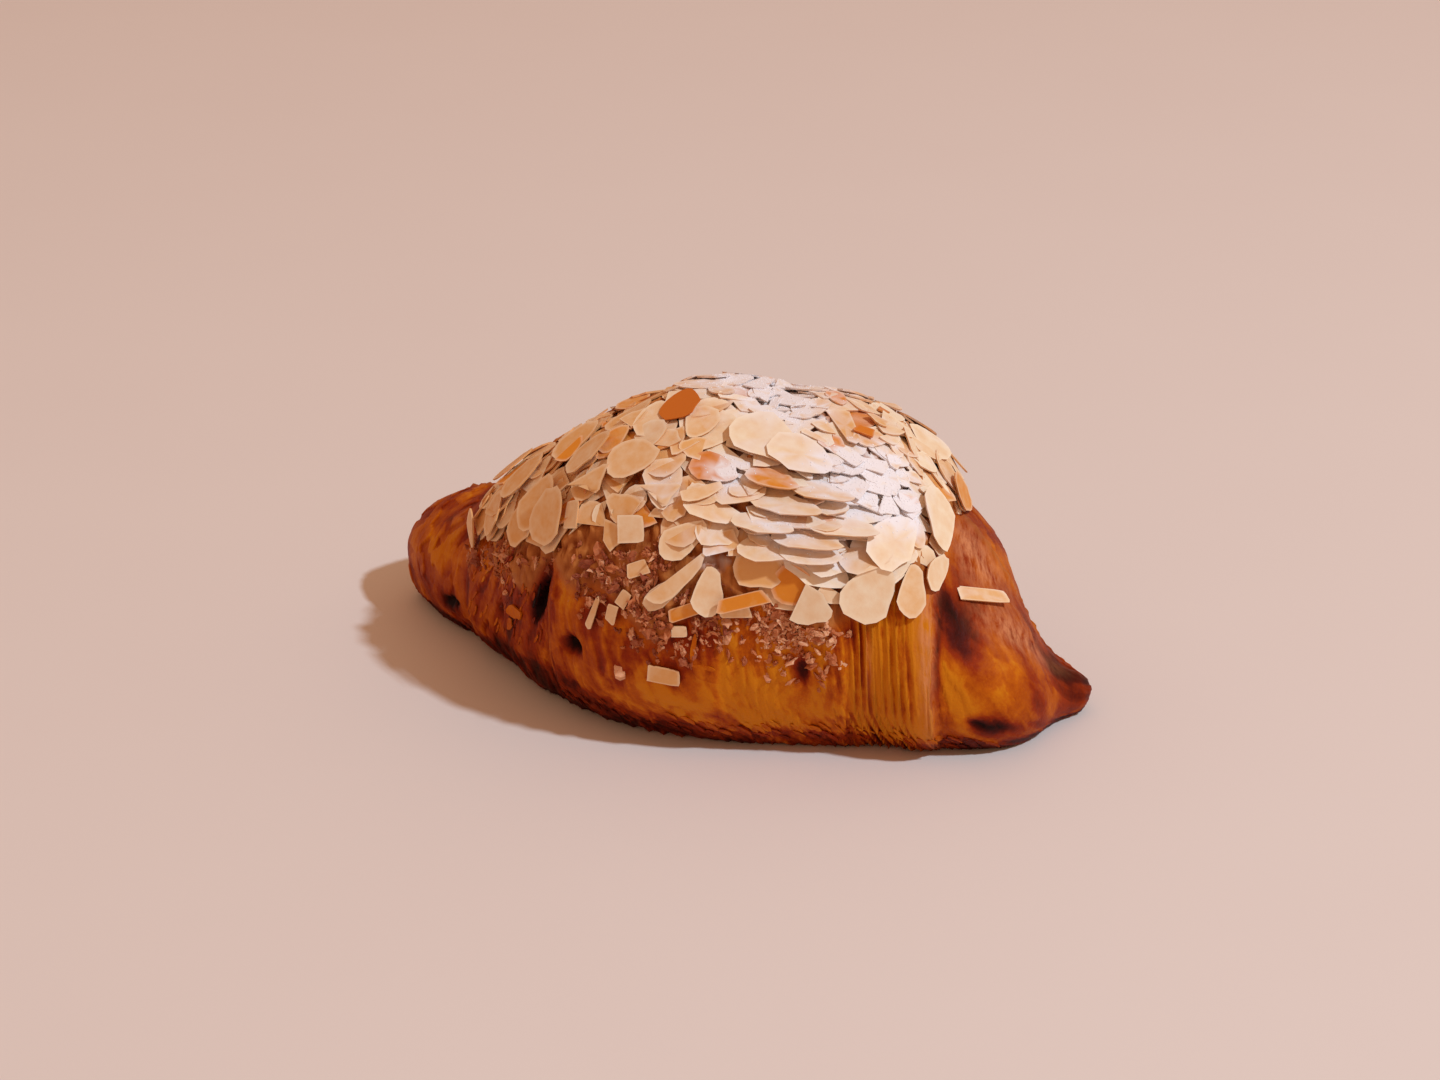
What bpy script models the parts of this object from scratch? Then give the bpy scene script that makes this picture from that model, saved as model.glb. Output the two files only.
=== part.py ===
"""Almond croissant: rolled dough baked into a bent crescent, with a crumbly almond cream crust over
its back and flaked almonds pressed into that crust. One closed piece, in metres, +Z up, standing on
its flat underside with its long axis along X and its bulging side towards -Y."""

import math

import bmesh
import bpy
import numpy as np

MM = 0.001

# The crescent, in millimetres. Stations are evenly spaced in angle from the left tip to the right one.
HALF_LENGTH = 77.0
HALF_WIDTHS = (0.0, 13.5, 18.5, 20.5, 24.5, 33.5, 38.5, 38.0, 37.5, 36.5, 30.0, 12.5, 0.0)
HEIGHTS = (0.0, 22.5, 28.5, 33.5, 46.0, 60.5, 67.5, 67.2, 63.0, 47.5, 31.0, 13.0, 0.0)
SPINE = (32.0, 30.0, 24.5, 17.5, 10.0, 3.5, 0.0, 3.5, 9.0, 12.5, 14.5, 18.0, 21.0)
TIP_LEVELS = (22.0, 11.0)     # girth that sets how high each tip is carried
NIB_LENGTH = 6.5              # the drawn-out right tip
NIB_START = 0.93
FAR_TAPER = 0.25              # how much slimmer the right end is on the side away from the front
FAR_TAPER_RUN = (0.4, 0.8)
WAIST = 0.445                 # share of the height at which the dough is widest
FOOT = 0.355                  # how far the round section is pressed into the tray
SQUASH = 0.95                 # 1 is an ellipse, less is squarer
UNDER_SQUASH = 0.9
TIP_DROP = 1.6                # how far a tip may hang below its widest level
TIP_BLEND = 30                # relief dies out only at the very tips
BEND_STEP = 0.02

# Edges of the dough wraps: place along the crescent and how far the dough steps down, millimetres.
WRAPS = ((-0.59, 1.8), (-0.4, 1.0), (-0.2, 2.6), (0.12, 1.3), (0.405, 1.4), (0.712, 2.8))
WRAP_TURN = 0.05              # how far a wrap edge runs outwards from top to tray
WRAP_LIP = 1.0                # sharpness of the step
WRAP_FADE = 8.0               # length over which the step levels out
UNEVEN = 0.5                  # gentle hollows and swellings of the baked dough, millimetres

# The almond cream crust on the back.
CRUST_THICK = 1.5
CRUST_MIDDLE = 0.03
CRUST_LENGTH = 0.68
CRUST_REACH = 80.0            # degrees down each flank
CRUST_EDGE = 5.0
CRUST_LOBES = ((6.0, 17.0, 1.3), (4.0, 41.0, 0.4))   # degrees, waves along the crescent, phase

# The flaked almonds, millimetres.
FLAKE_COUNT = 120
FLAKE_THICK = 1.15
FLAKE_LONG = (9.5, 15.5)
FLAKE_SLIM = (0.55, 0.85)
FLAKE_CORNERS = 8
FLAKE_SINK = 0.35             # how far a flake is pressed into what it lies on
BROKEN_SHARE = 0.25
SEED = 41

TILT_LIMIT = 0.45
REST_SHARE = 0.55             # how much of the highest bump under it a flake rides over
FLAKE_TOP_SHARE = 0.93        # top face against bottom face
SPREAD_ALONG = (-0.64, 0.76)
SPREAD_ROUND = 86.0
EVEN_STEPS = (0.7548776662, 0.5698402910)   # steps of an even spread over a square
COVER_ALONG = (-0.8, 0.9)
COVER_ROUND = 125.0
# Flakes seen at the front edge: place, angle, length, breadth, turn.
FLAKES_SEEN = (
    (0.49, 71, 13.5, 11.5, 70),
    (0.31, 78, 12.5, 10.0, 20),
    (0.2, 76, 14.0, 7.5, 65),
    (0.13, 80, 13.0, 8.0, 110),
    (0.05, 98, 9.0, 6.0, 10),
    (-0.12, 66, 15.5, 12.5, 75),
    (0.01, 66, 12.5, 11.0, 30),
    (0.6, 66, 12.0, 7.0, 80),
    (0.655, 56, 12.5, 9.0, 60),
    (0.74, 50, 13.0, 6.0, 5),
    (0.04, 16, 12.5, 11.0, 0),
    (-0.33, 50, 13.0, 10.0, 40),
)

# Mesh fineness.
RINGS = 58
ROUND = 40
EDGE_RINGS = 1.6              # extra rings gathered at each wrap edge
EDGE_REACH = 2.2
ROUND_SHIFT = 0.253           # draws the columns to the top and sets one on the edge of the foot
WELD = 0.005
BODY_COLOUR = (0.34, 0.12, 0.025, 1.0)


def smooth_step(a, b, x):
    t = np.clip((x - a) / (b - a), 0, 1)
    return t * t * (3 - 2 * t)


def through(stations, u):
    """Smooth curve through evenly spaced stations, u from -1 to 1."""
    t = np.asarray(stations, float)
    last = len(t) - 1
    x = np.clip((u + 1) / 2 * last, 0, last - 1e-9)
    i = x.astype(int)
    f = x - i
    ends = np.concatenate([[2 * t[0] - t[1]], t, [2 * t[-1] - t[-2]]])
    a, b, c, d = ends[i], ends[i + 1], ends[i + 2], ends[i + 3]
    cubic = 3 * b - a - 3 * c + d
    square = 2 * a - 5 * b + 4 * c - d
    return 0.5 * (2 * b + (c - a) * f + square * f**2 + cubic * f**3)


def along(w, theta):
    """Place along the crescent of a point on the wrap line w, which slants outwards to the tray."""
    return w - WRAP_TURN * np.tanh(5 * w) * (1 - w**2) * np.cos(theta)


def crust_cover(s, theta):
    """1 under the almond cream, 0 on bare dough, with a lobed edge."""
    length = np.clip(1 - (np.abs(s - CRUST_MIDDLE) / CRUST_LENGTH) ** 5, 0, 1)
    lobes = sum(size * np.sin(waves * s + phase) for size, waves, phase in CRUST_LOBES)
    reach = (CRUST_REACH + lobes) * np.sqrt(length)
    return smooth_step(CRUST_EDGE, -CRUST_EDGE, np.degrees(np.abs(theta)) - reach)


def relief(w, s, theta):
    """Height of the wraps and the crust over the smooth crescent."""
    rise = 0.0
    for place, step in WRAPS:
        d = (w - place) * HALF_LENGTH * math.copysign(1, place)
        rise = rise - 0.5 * step * np.tanh(d / WRAP_LIP) * np.exp(-np.abs(d) / WRAP_FADE)
    swell = np.sin(19 * w + 2 * np.sin(2 * theta)) * np.sin(3 * theta + 8 * w)
    return rise + UNEVEN * swell + CRUST_THICK * crust_cover(s, theta)


def surface(w, theta):
    """Point of the crescent at wrap place w (-1..1) and angle theta (0 on top, + towards -Y)."""
    s = along(w, theta)
    u = np.arcsin(np.clip(s, -1, 1)) * 2 / np.pi
    wide = through(HALF_WIDTHS, u)
    high = through(HEIGHTS, u)
    level = WAIST * through((TIP_LEVELS[0], *HEIGHTS[1:-1], TIP_LEVELS[1]), u)
    drop = np.minimum(level * (1 + FOOT), TIP_DROP * WAIST * high)
    out, up = np.sin(theta), np.cos(theta)
    wide = wide * np.where(out < 0, 1 - FAR_TAPER * smooth_step(*FAR_TAPER_RUN, s), 1.0)
    rise = relief(w, s, theta) * np.sqrt(np.clip(1 - np.abs(s) ** TIP_BLEND, 0, 1))
    side = -np.sign(out) * np.abs(out) ** SQUASH * wide - out * rise
    top = np.abs(up) ** SQUASH * (1 - WAIST) * high
    z = np.where(up >= 0, top, -np.abs(up) ** UNDER_SQUASH * drop) + level + up * rise
    s0, s1 = np.clip(s - BEND_STEP, -1, 1), np.clip(s + BEND_STEP, -1, 1)
    y0, y1 = (through(SPINE, np.arcsin(e) * 2 / np.pi) for e in (s0, s1))
    turn = np.arctan((y1 - y0) / (s1 - s0) / HALF_LENGTH)
    nib = NIB_LENGTH * np.clip((s - NIB_START) / (1 - NIB_START), 0, 1) ** 2
    x = HALF_LENGTH * s + nib - side * np.sin(turn)
    y = through(SPINE, u) + side * np.cos(turn)
    return np.stack([x, y, np.maximum(z, 0.0)], -1)


def ring_places():
    """Places of the rings, closer together at the tips and at the wrap edges."""
    w = np.linspace(-1, 1, 4001)
    density = 0.55 + 0.5 / np.sqrt(1.004 - w**2)
    for place, _ in WRAPS:
        density = density + EDGE_RINGS * np.exp(-(((w - place) * HALF_LENGTH / EDGE_REACH) ** 2))
    total = np.cumsum(density)
    total = (total - total[0]) / (total[-1] - total[0])
    return np.interp(np.linspace(0, 1, RINGS + 1), total, w)


def clear_scene():
    for item in list(bpy.data.objects):
        bpy.data.objects.remove(item, do_unlink=True)


def new_collection(name):
    group = bpy.data.collections.new(name)
    bpy.context.scene.collection.children.link(group)
    return group


def add_object(name, bm, group):
    bmesh.ops.triangulate(bm, faces=bm.faces[:])
    mesh = bpy.data.meshes.new(name)
    bm.to_mesh(mesh)
    bm.free()
    item = bpy.data.objects.new(name, mesh)
    group.objects.link(item)
    return item


def build_body(group):
    """A round primitive whose rings are moved onto the crescent, tips at its poles."""
    bm = bmesh.new()
    bmesh.ops.create_uvsphere(bm, u_segments=ROUND, v_segments=RINGS, radius=1.0)
    ball = np.array([v.co[:] for v in bm.verts])
    rings = ring_places()
    row = np.rint((1 - np.arccos(np.clip(ball[:, 2], -1, 1)) / np.pi) * RINGS).astype(int)
    around = np.arctan2(-ball[:, 0], ball[:, 1])
    around = around - ROUND_SHIFT * np.sin(around)
    for vert, point in zip(bm.verts, surface(rings[row], around)):
        vert.co = point * MM
    return add_object("croissant", bm, group)


class Cover:
    """The crust's surface as a fine net of points that rises as flakes are laid on it."""

    def __init__(self):
        w = np.linspace(*COVER_ALONG, 190)
        theta = np.radians(np.linspace(-COVER_ROUND, COVER_ROUND, 150))
        w, theta = np.meshgrid(w, theta, indexing="ij")
        self.base = surface(w, theta)
        step_w = np.gradient(self.base, axis=0)
        step_t = np.gradient(self.base, axis=1)
        normal = np.cross(step_t, step_w)
        normal /= np.linalg.norm(normal, axis=-1, keepdims=True)
        self.base = self.base.reshape(-1, 3)
        self.normal = normal.reshape(-1, 3)
        self.height = np.zeros(len(self.base))

    def lay(self, place, long, slim, turn):
        """Seat of one flake: its origin and its three axes, resting on what lies below it."""
        near = np.argmin(((self.base - place) ** 2).sum(1))
        close = ((self.base - place) ** 2).sum(1) < (0.7 * long) ** 2
        up = self.normal[close].mean(0)
        up /= np.linalg.norm(up)
        level = np.cross(np.cross(up, [1.0, 0.0, 0.0]), up)
        level /= np.linalg.norm(level)
        first = math.cos(turn) * level + math.sin(turn) * np.cross(up, level)
        second = np.cross(up, first)
        origin = self.base[near]
        top = self.base + self.normal * self.height[:, None] - origin
        a, b, c = top @ first, top @ second, top @ up
        under = ((a / long) ** 2 + (b / slim) ** 2 < 1) & (np.abs(c) < long) & (self.normal @ up > 0.2)
        grid = np.stack([np.ones(under.sum()), a[under], b[under]], 1)
        plane = np.linalg.lstsq(grid, c[under], rcond=None)[0]
        plane[1:] = np.clip(plane[1:], -TILT_LIMIT, TILT_LIMIT)
        miss = c[under] - grid @ plane
        plane[0] += REST_SHARE * miss.max() - FLAKE_SINK
        risen = (grid @ plane + FLAKE_THICK - c[under]) / (self.normal[under] @ up)
        self.height[under] += np.maximum(risen, 0)
        axis = up - plane[1] * first - plane[2] * second
        axis /= np.linalg.norm(axis)
        first = first + plane[1] * up
        first -= axis * (first @ axis)
        first /= np.linalg.norm(first)
        return origin + plane[0] * up, first, np.cross(axis, first), axis


def flake_seats():
    """Where the flakes lie: the large ones seen in front first, then an even seeded spread."""
    seats = [(w, math.radians(t), 0.5 * l, 0.5 * b, math.radians(r), -1.0) for w, t, l, b, r in FLAKES_SEEN]
    draw = np.random.default_rng(SEED)
    k = 0
    while len(seats) < FLAKE_COUNT:
        k += 1
        share_along, share_round = ((0.5 + k * step) % 1 for step in EVEN_STEPS)
        w = SPREAD_ALONG[0] + (SPREAD_ALONG[1] - SPREAD_ALONG[0]) * share_along
        theta = math.radians(SPREAD_ROUND) * (2 * share_round - 1)
        w += draw.normal(0, 0.015)
        theta += draw.normal(0, 0.05)
        long = 0.5 * draw.uniform(*FLAKE_LONG)
        slim = long * draw.uniform(*FLAKE_SLIM)
        turn = draw.uniform(0, 2 * math.pi)
        chord = draw.uniform(-0.4, 0.2) if draw.random() < BROKEN_SHARE else -1.0
        girth = through(HEIGHTS, np.array([math.asin(max(-1, min(1, w))) * 2 / math.pi]))[0]
        wanted = crust_cover(along(w, theta), theta) > 0.5 and draw.random() < girth / max(HEIGHTS)
        if wanted:
            seats.append((w, theta, long, slim, turn, chord))
    return seats


def build_flakes(group):
    """Thin eight-cornered slices of almond, each resting on the crust and on earlier ones."""
    cover = Cover()
    for number, (w, theta, long, slim, turn, chord) in enumerate(flake_seats()):
        place = surface(np.array(w), np.array(theta))
        origin, first, second, axis = cover.lay(place, long, slim, turn)
        bm = bmesh.new()
        bmesh.ops.create_cone(
            bm, cap_ends=True, segments=FLAKE_CORNERS, radius1=1.0, radius2=1.0, depth=2.0
        )
        for vert in bm.verts:
            x, y, z = vert.co
            a = max(x, chord) * long
            b = y * (1 - 0.2 * x) * slim
            if z > 0:
                a, b = a * FLAKE_TOP_SHARE, b * FLAKE_TOP_SHARE
            c = FLAKE_THICK if z > 0 else 0.0
            vert.co = (origin + a * first + b * second + c * axis) * MM
        add_object(f"flake_{number:03d}", bm, group)


def fuse(body, group):
    """One union of the dough with every flake, then the single outer shell of it."""
    union = body.modifiers.new("fuse", "BOOLEAN")
    union.operation = "UNION"
    union.operand_type = "COLLECTION"
    union.collection = group
    union.solver = "EXACT"
    solid = body.evaluated_get(bpy.context.evaluated_depsgraph_get())
    mesh = bpy.data.meshes.new_from_object(solid)
    body.modifiers.clear()
    body.data = mesh
    for item in list(group.objects):
        bpy.data.objects.remove(item, do_unlink=True)
    bpy.data.collections.remove(group)
    keep_outer_shell(mesh)


def keep_outer_shell(mesh):
    bm = bmesh.new()
    bm.from_mesh(mesh)
    bmesh.ops.remove_doubles(bm, verts=bm.verts[:], dist=WELD * MM)
    bmesh.ops.dissolve_degenerate(bm, dist=WELD * MM, edges=bm.edges[:])
    bmesh.ops.triangulate(bm, faces=bm.faces[:])
    bm.faces.ensure_lookup_table()
    left = set(bm.faces)
    shells = []
    while left:
        shell = {left.pop()}
        edge = list(shell)
        while edge:
            face = edge.pop()
            for side in face.edges:
                for other in side.link_faces:
                    if other in left:
                        left.remove(other)
                        shell.add(other)
                        edge.append(other)
        shells.append(shell)
    shells.sort(key=lambda shell: sum(face.calc_area() for face in shell))
    scraps = [face for shell in shells[:-1] for face in shell]
    bmesh.ops.delete(bm, geom=scraps, context="FACES")
    print("shells", len(shells), "triangles", len(bm.faces))
    bm.to_mesh(mesh)
    bm.free()


def stand_on_origin(item):
    points = np.array([v.co[:] for v in item.data.vertices])
    low, high = points.min(0), points.max(0)
    shift = np.array([(low[0] + high[0]) / 2, (low[1] + high[1]) / 2, low[2]])
    for vert, point in zip(item.data.vertices, points - shift):
        vert.co = point
    print("size mm", np.round((high - low) / MM, 1), "moved by mm", np.round(-shift / MM, 2))


def paint(item, name, colour, roughness):
    material = bpy.data.materials.new(name)
    material.use_nodes = True
    shader = material.node_tree.nodes["Principled BSDF"]
    shader.inputs["Base Color"].default_value = colour
    shader.inputs["Roughness"].default_value = roughness
    item.data.materials.clear()
    item.data.materials.append(material)


def main():
    clear_scene()
    parts = new_collection("almond_croissant")
    toppings = new_collection("toppings")
    body = build_body(parts)
    build_flakes(toppings)
    fuse(body, toppings)
    stand_on_origin(body)
    paint(body, "baked_dough", BODY_COLOUR, 0.6)
    for face in body.data.polygons:
        face.use_smooth = True


main()
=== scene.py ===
# %% [markdown]
# # An almond croissant
#
# A croissant is a triangle of layered dough rolled up from its base, so that its wraps end in steps
# across a bent crescent. This one was then covered with almond cream and flaked almonds, baked again
# and dusted with powdered sugar. The lesson builds it in that order: dough, crust, almonds, crumbs,
# sugar, and last the table, the light and the camera. Sizes are in millimetres until a mesh is made.

import math
from functools import partial

import bmesh
import bpy
import numpy as np
from mathutils import Matrix, Vector
from mathutils.bvhtree import BVHTree


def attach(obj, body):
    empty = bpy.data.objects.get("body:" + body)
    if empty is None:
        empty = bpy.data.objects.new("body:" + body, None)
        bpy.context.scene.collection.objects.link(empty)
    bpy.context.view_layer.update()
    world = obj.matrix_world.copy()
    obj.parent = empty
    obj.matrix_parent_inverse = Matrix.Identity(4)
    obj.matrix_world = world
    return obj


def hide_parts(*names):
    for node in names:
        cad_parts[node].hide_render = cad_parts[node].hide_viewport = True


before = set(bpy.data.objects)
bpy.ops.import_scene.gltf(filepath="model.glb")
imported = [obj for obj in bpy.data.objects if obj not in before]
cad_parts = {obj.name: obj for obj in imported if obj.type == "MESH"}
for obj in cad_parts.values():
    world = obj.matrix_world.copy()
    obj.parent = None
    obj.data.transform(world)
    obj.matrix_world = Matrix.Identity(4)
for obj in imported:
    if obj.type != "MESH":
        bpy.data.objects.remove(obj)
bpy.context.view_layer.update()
MM = 0.001

# %% [markdown]
# ## One way to add a node
#
# Geometry and materials are both made of nodes here. One function adds any of them, so that a tree
# reads as a chain of values. Colours are written as they look on a screen and turned to linear ones.

# %% Nodes and colours
MATH, VECTOR_MATH, STORED = "ShaderNodeMath", "ShaderNodeVectorMath", "GeometryNodeInputNamedAttribute"


def node(tree, kind, inputs=(), out=0, **settings):
    """Adds one node and returns one of its outputs, or the node itself where out is None.

    Inputs are values or links, listed in the order of the sockets or given with the sockets' names.
    """
    made = tree.nodes.new(kind)
    for name, value in settings.items():
        setattr(made, name, value)
    for key, value in inputs.items() if isinstance(inputs, dict) else enumerate(inputs):
        if isinstance(value, bpy.types.NodeSocket):
            tree.links.new(value, made.inputs[key])
        else:
            made.inputs[key].default_value = value
    return made if out is None else made.outputs[out]


def paint_of(code):
    """An sRGB hex colour as the linear red, green, blue and alpha that shaders use."""
    share = [int(code[i : i + 2], 16) / 255 for i in (1, 3, 5)]
    return (*[c / 12.92 if c <= 0.04045 else ((c + 0.055) / 1.055) ** 2.4 for c in share], 1.0)


print("mid grey as a linear value", round(paint_of("#808080")[0], 3))

# %% [markdown]
# ## The form of the crescent
#
# The dough could be sculpted by hand, but a rule is easier to correct. Every point has a place along
# the crescent (-1 at the left tip, 1 at the right one) and an angle round it (0 on top, 90 towards the
# front). Three short rows of stations give width, height and bend, and a smooth curve runs through each.

# %% Stations and the smooth curve through them
HALF_LENGTH = 77.0
HALF_WIDTHS = (0.0, 13.5, 18.5, 20.5, 24.5, 33.5, 38.5, 38.0, 37.5, 36.5, 30.0, 12.5, 0.0)
HEIGHTS = (0.0, 22.5, 28.5, 33.5, 46.0, 60.5, 67.5, 67.2, 63.0, 47.5, 31.0, 13.0, 0.0)
SPINE = (32.0, 30.0, 24.5, 17.5, 10.0, 3.5, 0.0, 3.5, 9.0, 12.5, 14.5, 18.0, 21.0)
TIP_LEVELS = (22.0, 11.0)                       # heights that the two tips are worked out from
NIB_LENGTH, NIB_START = 6.5, 0.93               # the right tip is drawn out from this place on
FAR_TAPER, FAR_TAPER_RUN = 0.25, (0.4, 0.8)     # the far side narrows towards the right horn
WAIST, FOOT = 0.445, 0.355                      # level of the widest line, and what the tray cuts off
SQUASH, UNDER_SQUASH = 0.95, 0.9                # below 1 a section is fuller than an ellipse
TIP_DROP, TIP_BLEND, BEND_STEP = 1.6, 30, 0.02
MOVED = np.array([-1.87, -1.62, 0.0])           # from the spine's middle to the bounding box's middle


def smooth_step(a, b, x):
    t = np.clip((x - a) / (b - a), 0, 1)
    return t * t * (3 - 2 * t)


def through(stations, u):
    """Smooth curve through evenly spaced stations, u from -1 to 1."""
    t = np.asarray(stations, float)
    last = len(t) - 1
    x = np.clip((u + 1) / 2 * last, 0, last - 1e-9)
    i = x.astype(int)
    f = x - i
    ends = np.concatenate([[2 * t[0] - t[1]], t, [2 * t[-1] - t[-2]]])
    a, b, c, d = ends[i], ends[i + 1], ends[i + 2], ends[i + 3]
    cubic = 3 * b - a - 3 * c + d
    square = 2 * a - 5 * b + 4 * c - d
    return 0.5 * (2 * b + (c - a) * f + square * f**2 + cubic * f**3)


at_middle = [float(through(row, np.array(0.0))) for row in (HALF_WIDTHS, HEIGHTS)]
print("half width and height at the middle", at_middle)

# %% [markdown]
# ## Wraps and crust as relief
#
# Where a wrap of dough ends, the surface steps down towards the tip and levels out again. A `tanh`
# gives the sharp lip and an exponential the levelling out. The almond cream adds its own thickness on
# the back, down to a lobed edge.

# %% Relief of the wraps and of the almond crust
WRAPS = ((-0.59, 1.8), (-0.4, 1.0), (-0.2, 2.6), (0.12, 1.3), (0.405, 1.4), (0.712, 2.8))
WRAP_TURN, WRAP_LIP, WRAP_FADE = 0.05, 1.0, 8.0
WRAP_HEM = (140, 112)     # angles between which a step fades out towards the tray
UNEVEN = 0.5
CRUST_THICK, CRUST_MIDDLE, CRUST_LENGTH = 1.5, 0.03, 0.68
CRUST_REACH, CRUST_EDGE, SOFT_EDGE = 80.0, 5.0, 9.0
CRUST_LOBES = ((6.0, 17.0, 1.3), (4.0, 41.0, 0.4))


def along(w, theta):
    """Place along the crescent of a point on the wrap line w, which slants outwards to the tray."""
    return w - WRAP_TURN * np.tanh(5 * w) * (1 - w**2) * np.cos(theta)


def crust_cover(s, theta, edge=CRUST_EDGE):
    """1 under the almond cream, 0 on bare dough, with a lobed edge."""
    length = np.clip(1 - (np.abs(s - CRUST_MIDDLE) / CRUST_LENGTH) ** 5, 0, 1)
    lobes = sum(size * np.sin(waves * s + phase) for size, waves, phase in CRUST_LOBES)
    reach = (CRUST_REACH + lobes) * np.sqrt(length)
    return smooth_step(edge, -edge, np.degrees(np.abs(theta)) - reach)


def relief(w, s, theta):
    """Height of the wraps and the crust over the smooth crescent."""
    rise = 0.0
    for place, step in WRAPS:
        d = (w - place) * HALF_LENGTH * math.copysign(1, place)
        edge = 0.5 * step * np.tanh(d / WRAP_LIP) * np.exp(-np.abs(d) / WRAP_FADE)
        rise = rise - edge * smooth_step(*WRAP_HEM, np.degrees(np.abs(theta)))
    swell = np.sin(19 * w + 2 * np.sin(2 * theta)) * np.sin(3 * theta + 8 * w)
    return rise + UNEVEN * swell + CRUST_THICK * crust_cover(s, theta)


print("steps of the wraps in mm", [step for _, step in WRAPS])

# %% [markdown]
# ## From place and angle to a point
#
# A section is a rounded shape about its widest line, flat where it meets the tray. It stands square
# to the spine, which bends in the plan, and the right tip is drawn out to a small nib.

# %% Surface of the crescent
def surface(w, theta, extra=0.0):
    """Point of the crescent, in millimetres, at wrap place w and angle theta, raised by extra."""
    w, theta = np.asarray(w), np.asarray(theta)
    s = along(w, theta)
    u = np.arcsin(np.clip(s, -1, 1)) * 2 / np.pi
    wide = through(HALF_WIDTHS, u)
    high = through(HEIGHTS, u)
    level = WAIST * through((TIP_LEVELS[0], *HEIGHTS[1:-1], TIP_LEVELS[1]), u)
    drop = np.minimum(level * (1 + FOOT), TIP_DROP * WAIST * high)
    out, up = np.sin(theta), np.cos(theta)
    wide = wide * np.where(out < 0, 1 - FAR_TAPER * smooth_step(*FAR_TAPER_RUN, s), 1.0)
    rise = (relief(w, s, theta) + extra) * np.sqrt(np.clip(1 - np.abs(s) ** TIP_BLEND, 0, 1))
    side = -np.sign(out) * np.abs(out) ** SQUASH * wide - out * rise
    top = np.abs(up) ** SQUASH * (1 - WAIST) * high
    z = np.where(up >= 0, top, -np.abs(up) ** UNDER_SQUASH * drop) + level + up * rise
    s0, s1 = np.clip(s - BEND_STEP, -1, 1), np.clip(s + BEND_STEP, -1, 1)
    y0, y1 = (through(SPINE, np.arcsin(e) * 2 / np.pi) for e in (s0, s1))
    turn = np.arctan((y1 - y0) / (s1 - s0) / HALF_LENGTH)
    nib = NIB_LENGTH * np.clip((s - NIB_START) / (1 - NIB_START), 0, 1) ** 2
    x = HALF_LENGTH * s + nib - side * np.sin(turn)
    y = through(SPINE, u) + side * np.cos(turn)
    return np.stack([x, y, np.maximum(z, 0.0)], -1) + MOVED


print("top of the dough in mm", round(float(surface(0.0, 0.0)[2]), 1))

# %% [markdown]
# ## Splits and holes
#
# Steam leaves a few splits and holes in the skin. Each is a soft dent at a place and an angle, and
# one of them leans with its wrap. The last two pinch out the knob at the right tip.

# %% Depth of the splits and holes
MM_PER_DEGREE = 0.6     # way round the dough for one degree, about the same on all wraps
PITS = (
    # wrap place, angle, half size along and round in mm, depth in mm, lean
    (-0.236, 86.5, 1.5, 4.4, 4.4, -0.39),
    (-0.127, 99, 1.7, 1.9, 3.4, 0.0),
    (0.825, 105, 1.2, 1.8, 0.8, 0.0),
    (-0.69, 104, 2.6, 2.2, 1.6, 0.0),
    (-0.42, 98, 1.4, 2.4, 1.2, 0.0),
    (0.311, 98, 1.0, 2.2, 1.0, 0.0),
    (0.94, 40, 2.2, 7.0, 0.9, 0.0),
    (0.978, 38, 1.8, 6.0, -1.4, 0.0),
)


def pit_depth(w, theta):
    depth = 0.0
    for place, angle, long, tall, deep, lean in PITS:
        round_mm = (np.degrees(theta) - angle) * MM_PER_DEGREE
        a = ((w - place) * HALF_LENGTH - lean * round_mm) / long
        b = round_mm / tall
        depth = depth + deep * np.exp(-((a**2 + b**2) ** 1.5))
    return depth


print("deepest split in mm", max(row[4] for row in PITS))

# %% [markdown]
# ## The dough as a fine net
#
# Rings of points run round the crescent, one behind the other, and one point closes each tip. The
# rings lie close together, because the dough's fine layers run round the crescent and need about
# three points each. Each point also keeps what later steps ask: where it is in millimetres, and how
# layered, crusted and brown the dough is there.

# %% Build the dough
RINGS, ROUND = 559, 168
ROUND_SHIFT = 0.253       # moves the points round towards the top
TIP_CROWDING = 0.45       # 0 spaces the rings evenly and 1 crowds them towards the tips


def new_piece(name, mesh):
    piece = bpy.data.objects.new(name, mesh)
    bpy.context.scene.collection.objects.link(piece)
    return piece


def values_of(data, key, width=3):
    """The places, normals or stored values of all points of a mesh."""
    values = np.empty(len(data) * width)
    data.foreach_get(key, values)
    return values.reshape(-1, width).squeeze()


def keep_value(mesh, name, values, kind="FLOAT", domain="POINT"):
    """Stores one value per point (or face) under a name that nodes and materials can read."""
    made = mesh.attributes.new(name, kind, domain)
    key = "vector" if kind == "FLOAT_VECTOR" else "value"
    made.data.foreach_set(key, np.ascontiguousarray(values, dtype=np.float32).ravel())


def net_faces(rings, around):
    """Four-cornered faces between rings of points, and fans to the one point that closes each end."""
    near = 1 + np.arange(around)
    beside = np.roll(near, -1)
    step = around * np.arange(rings - 1)[:, None]
    faces = np.stack([near + step, beside + step, beside + step + around, near + step + around], -1)
    faces = faces.reshape(-1, 4).tolist()
    last = around * (rings - 1)
    for i, j in zip(near.tolist(), beside.tolist()):
        faces += [(0, j, i), (i + last, j + last, last + around + 1)]
    return faces


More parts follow.
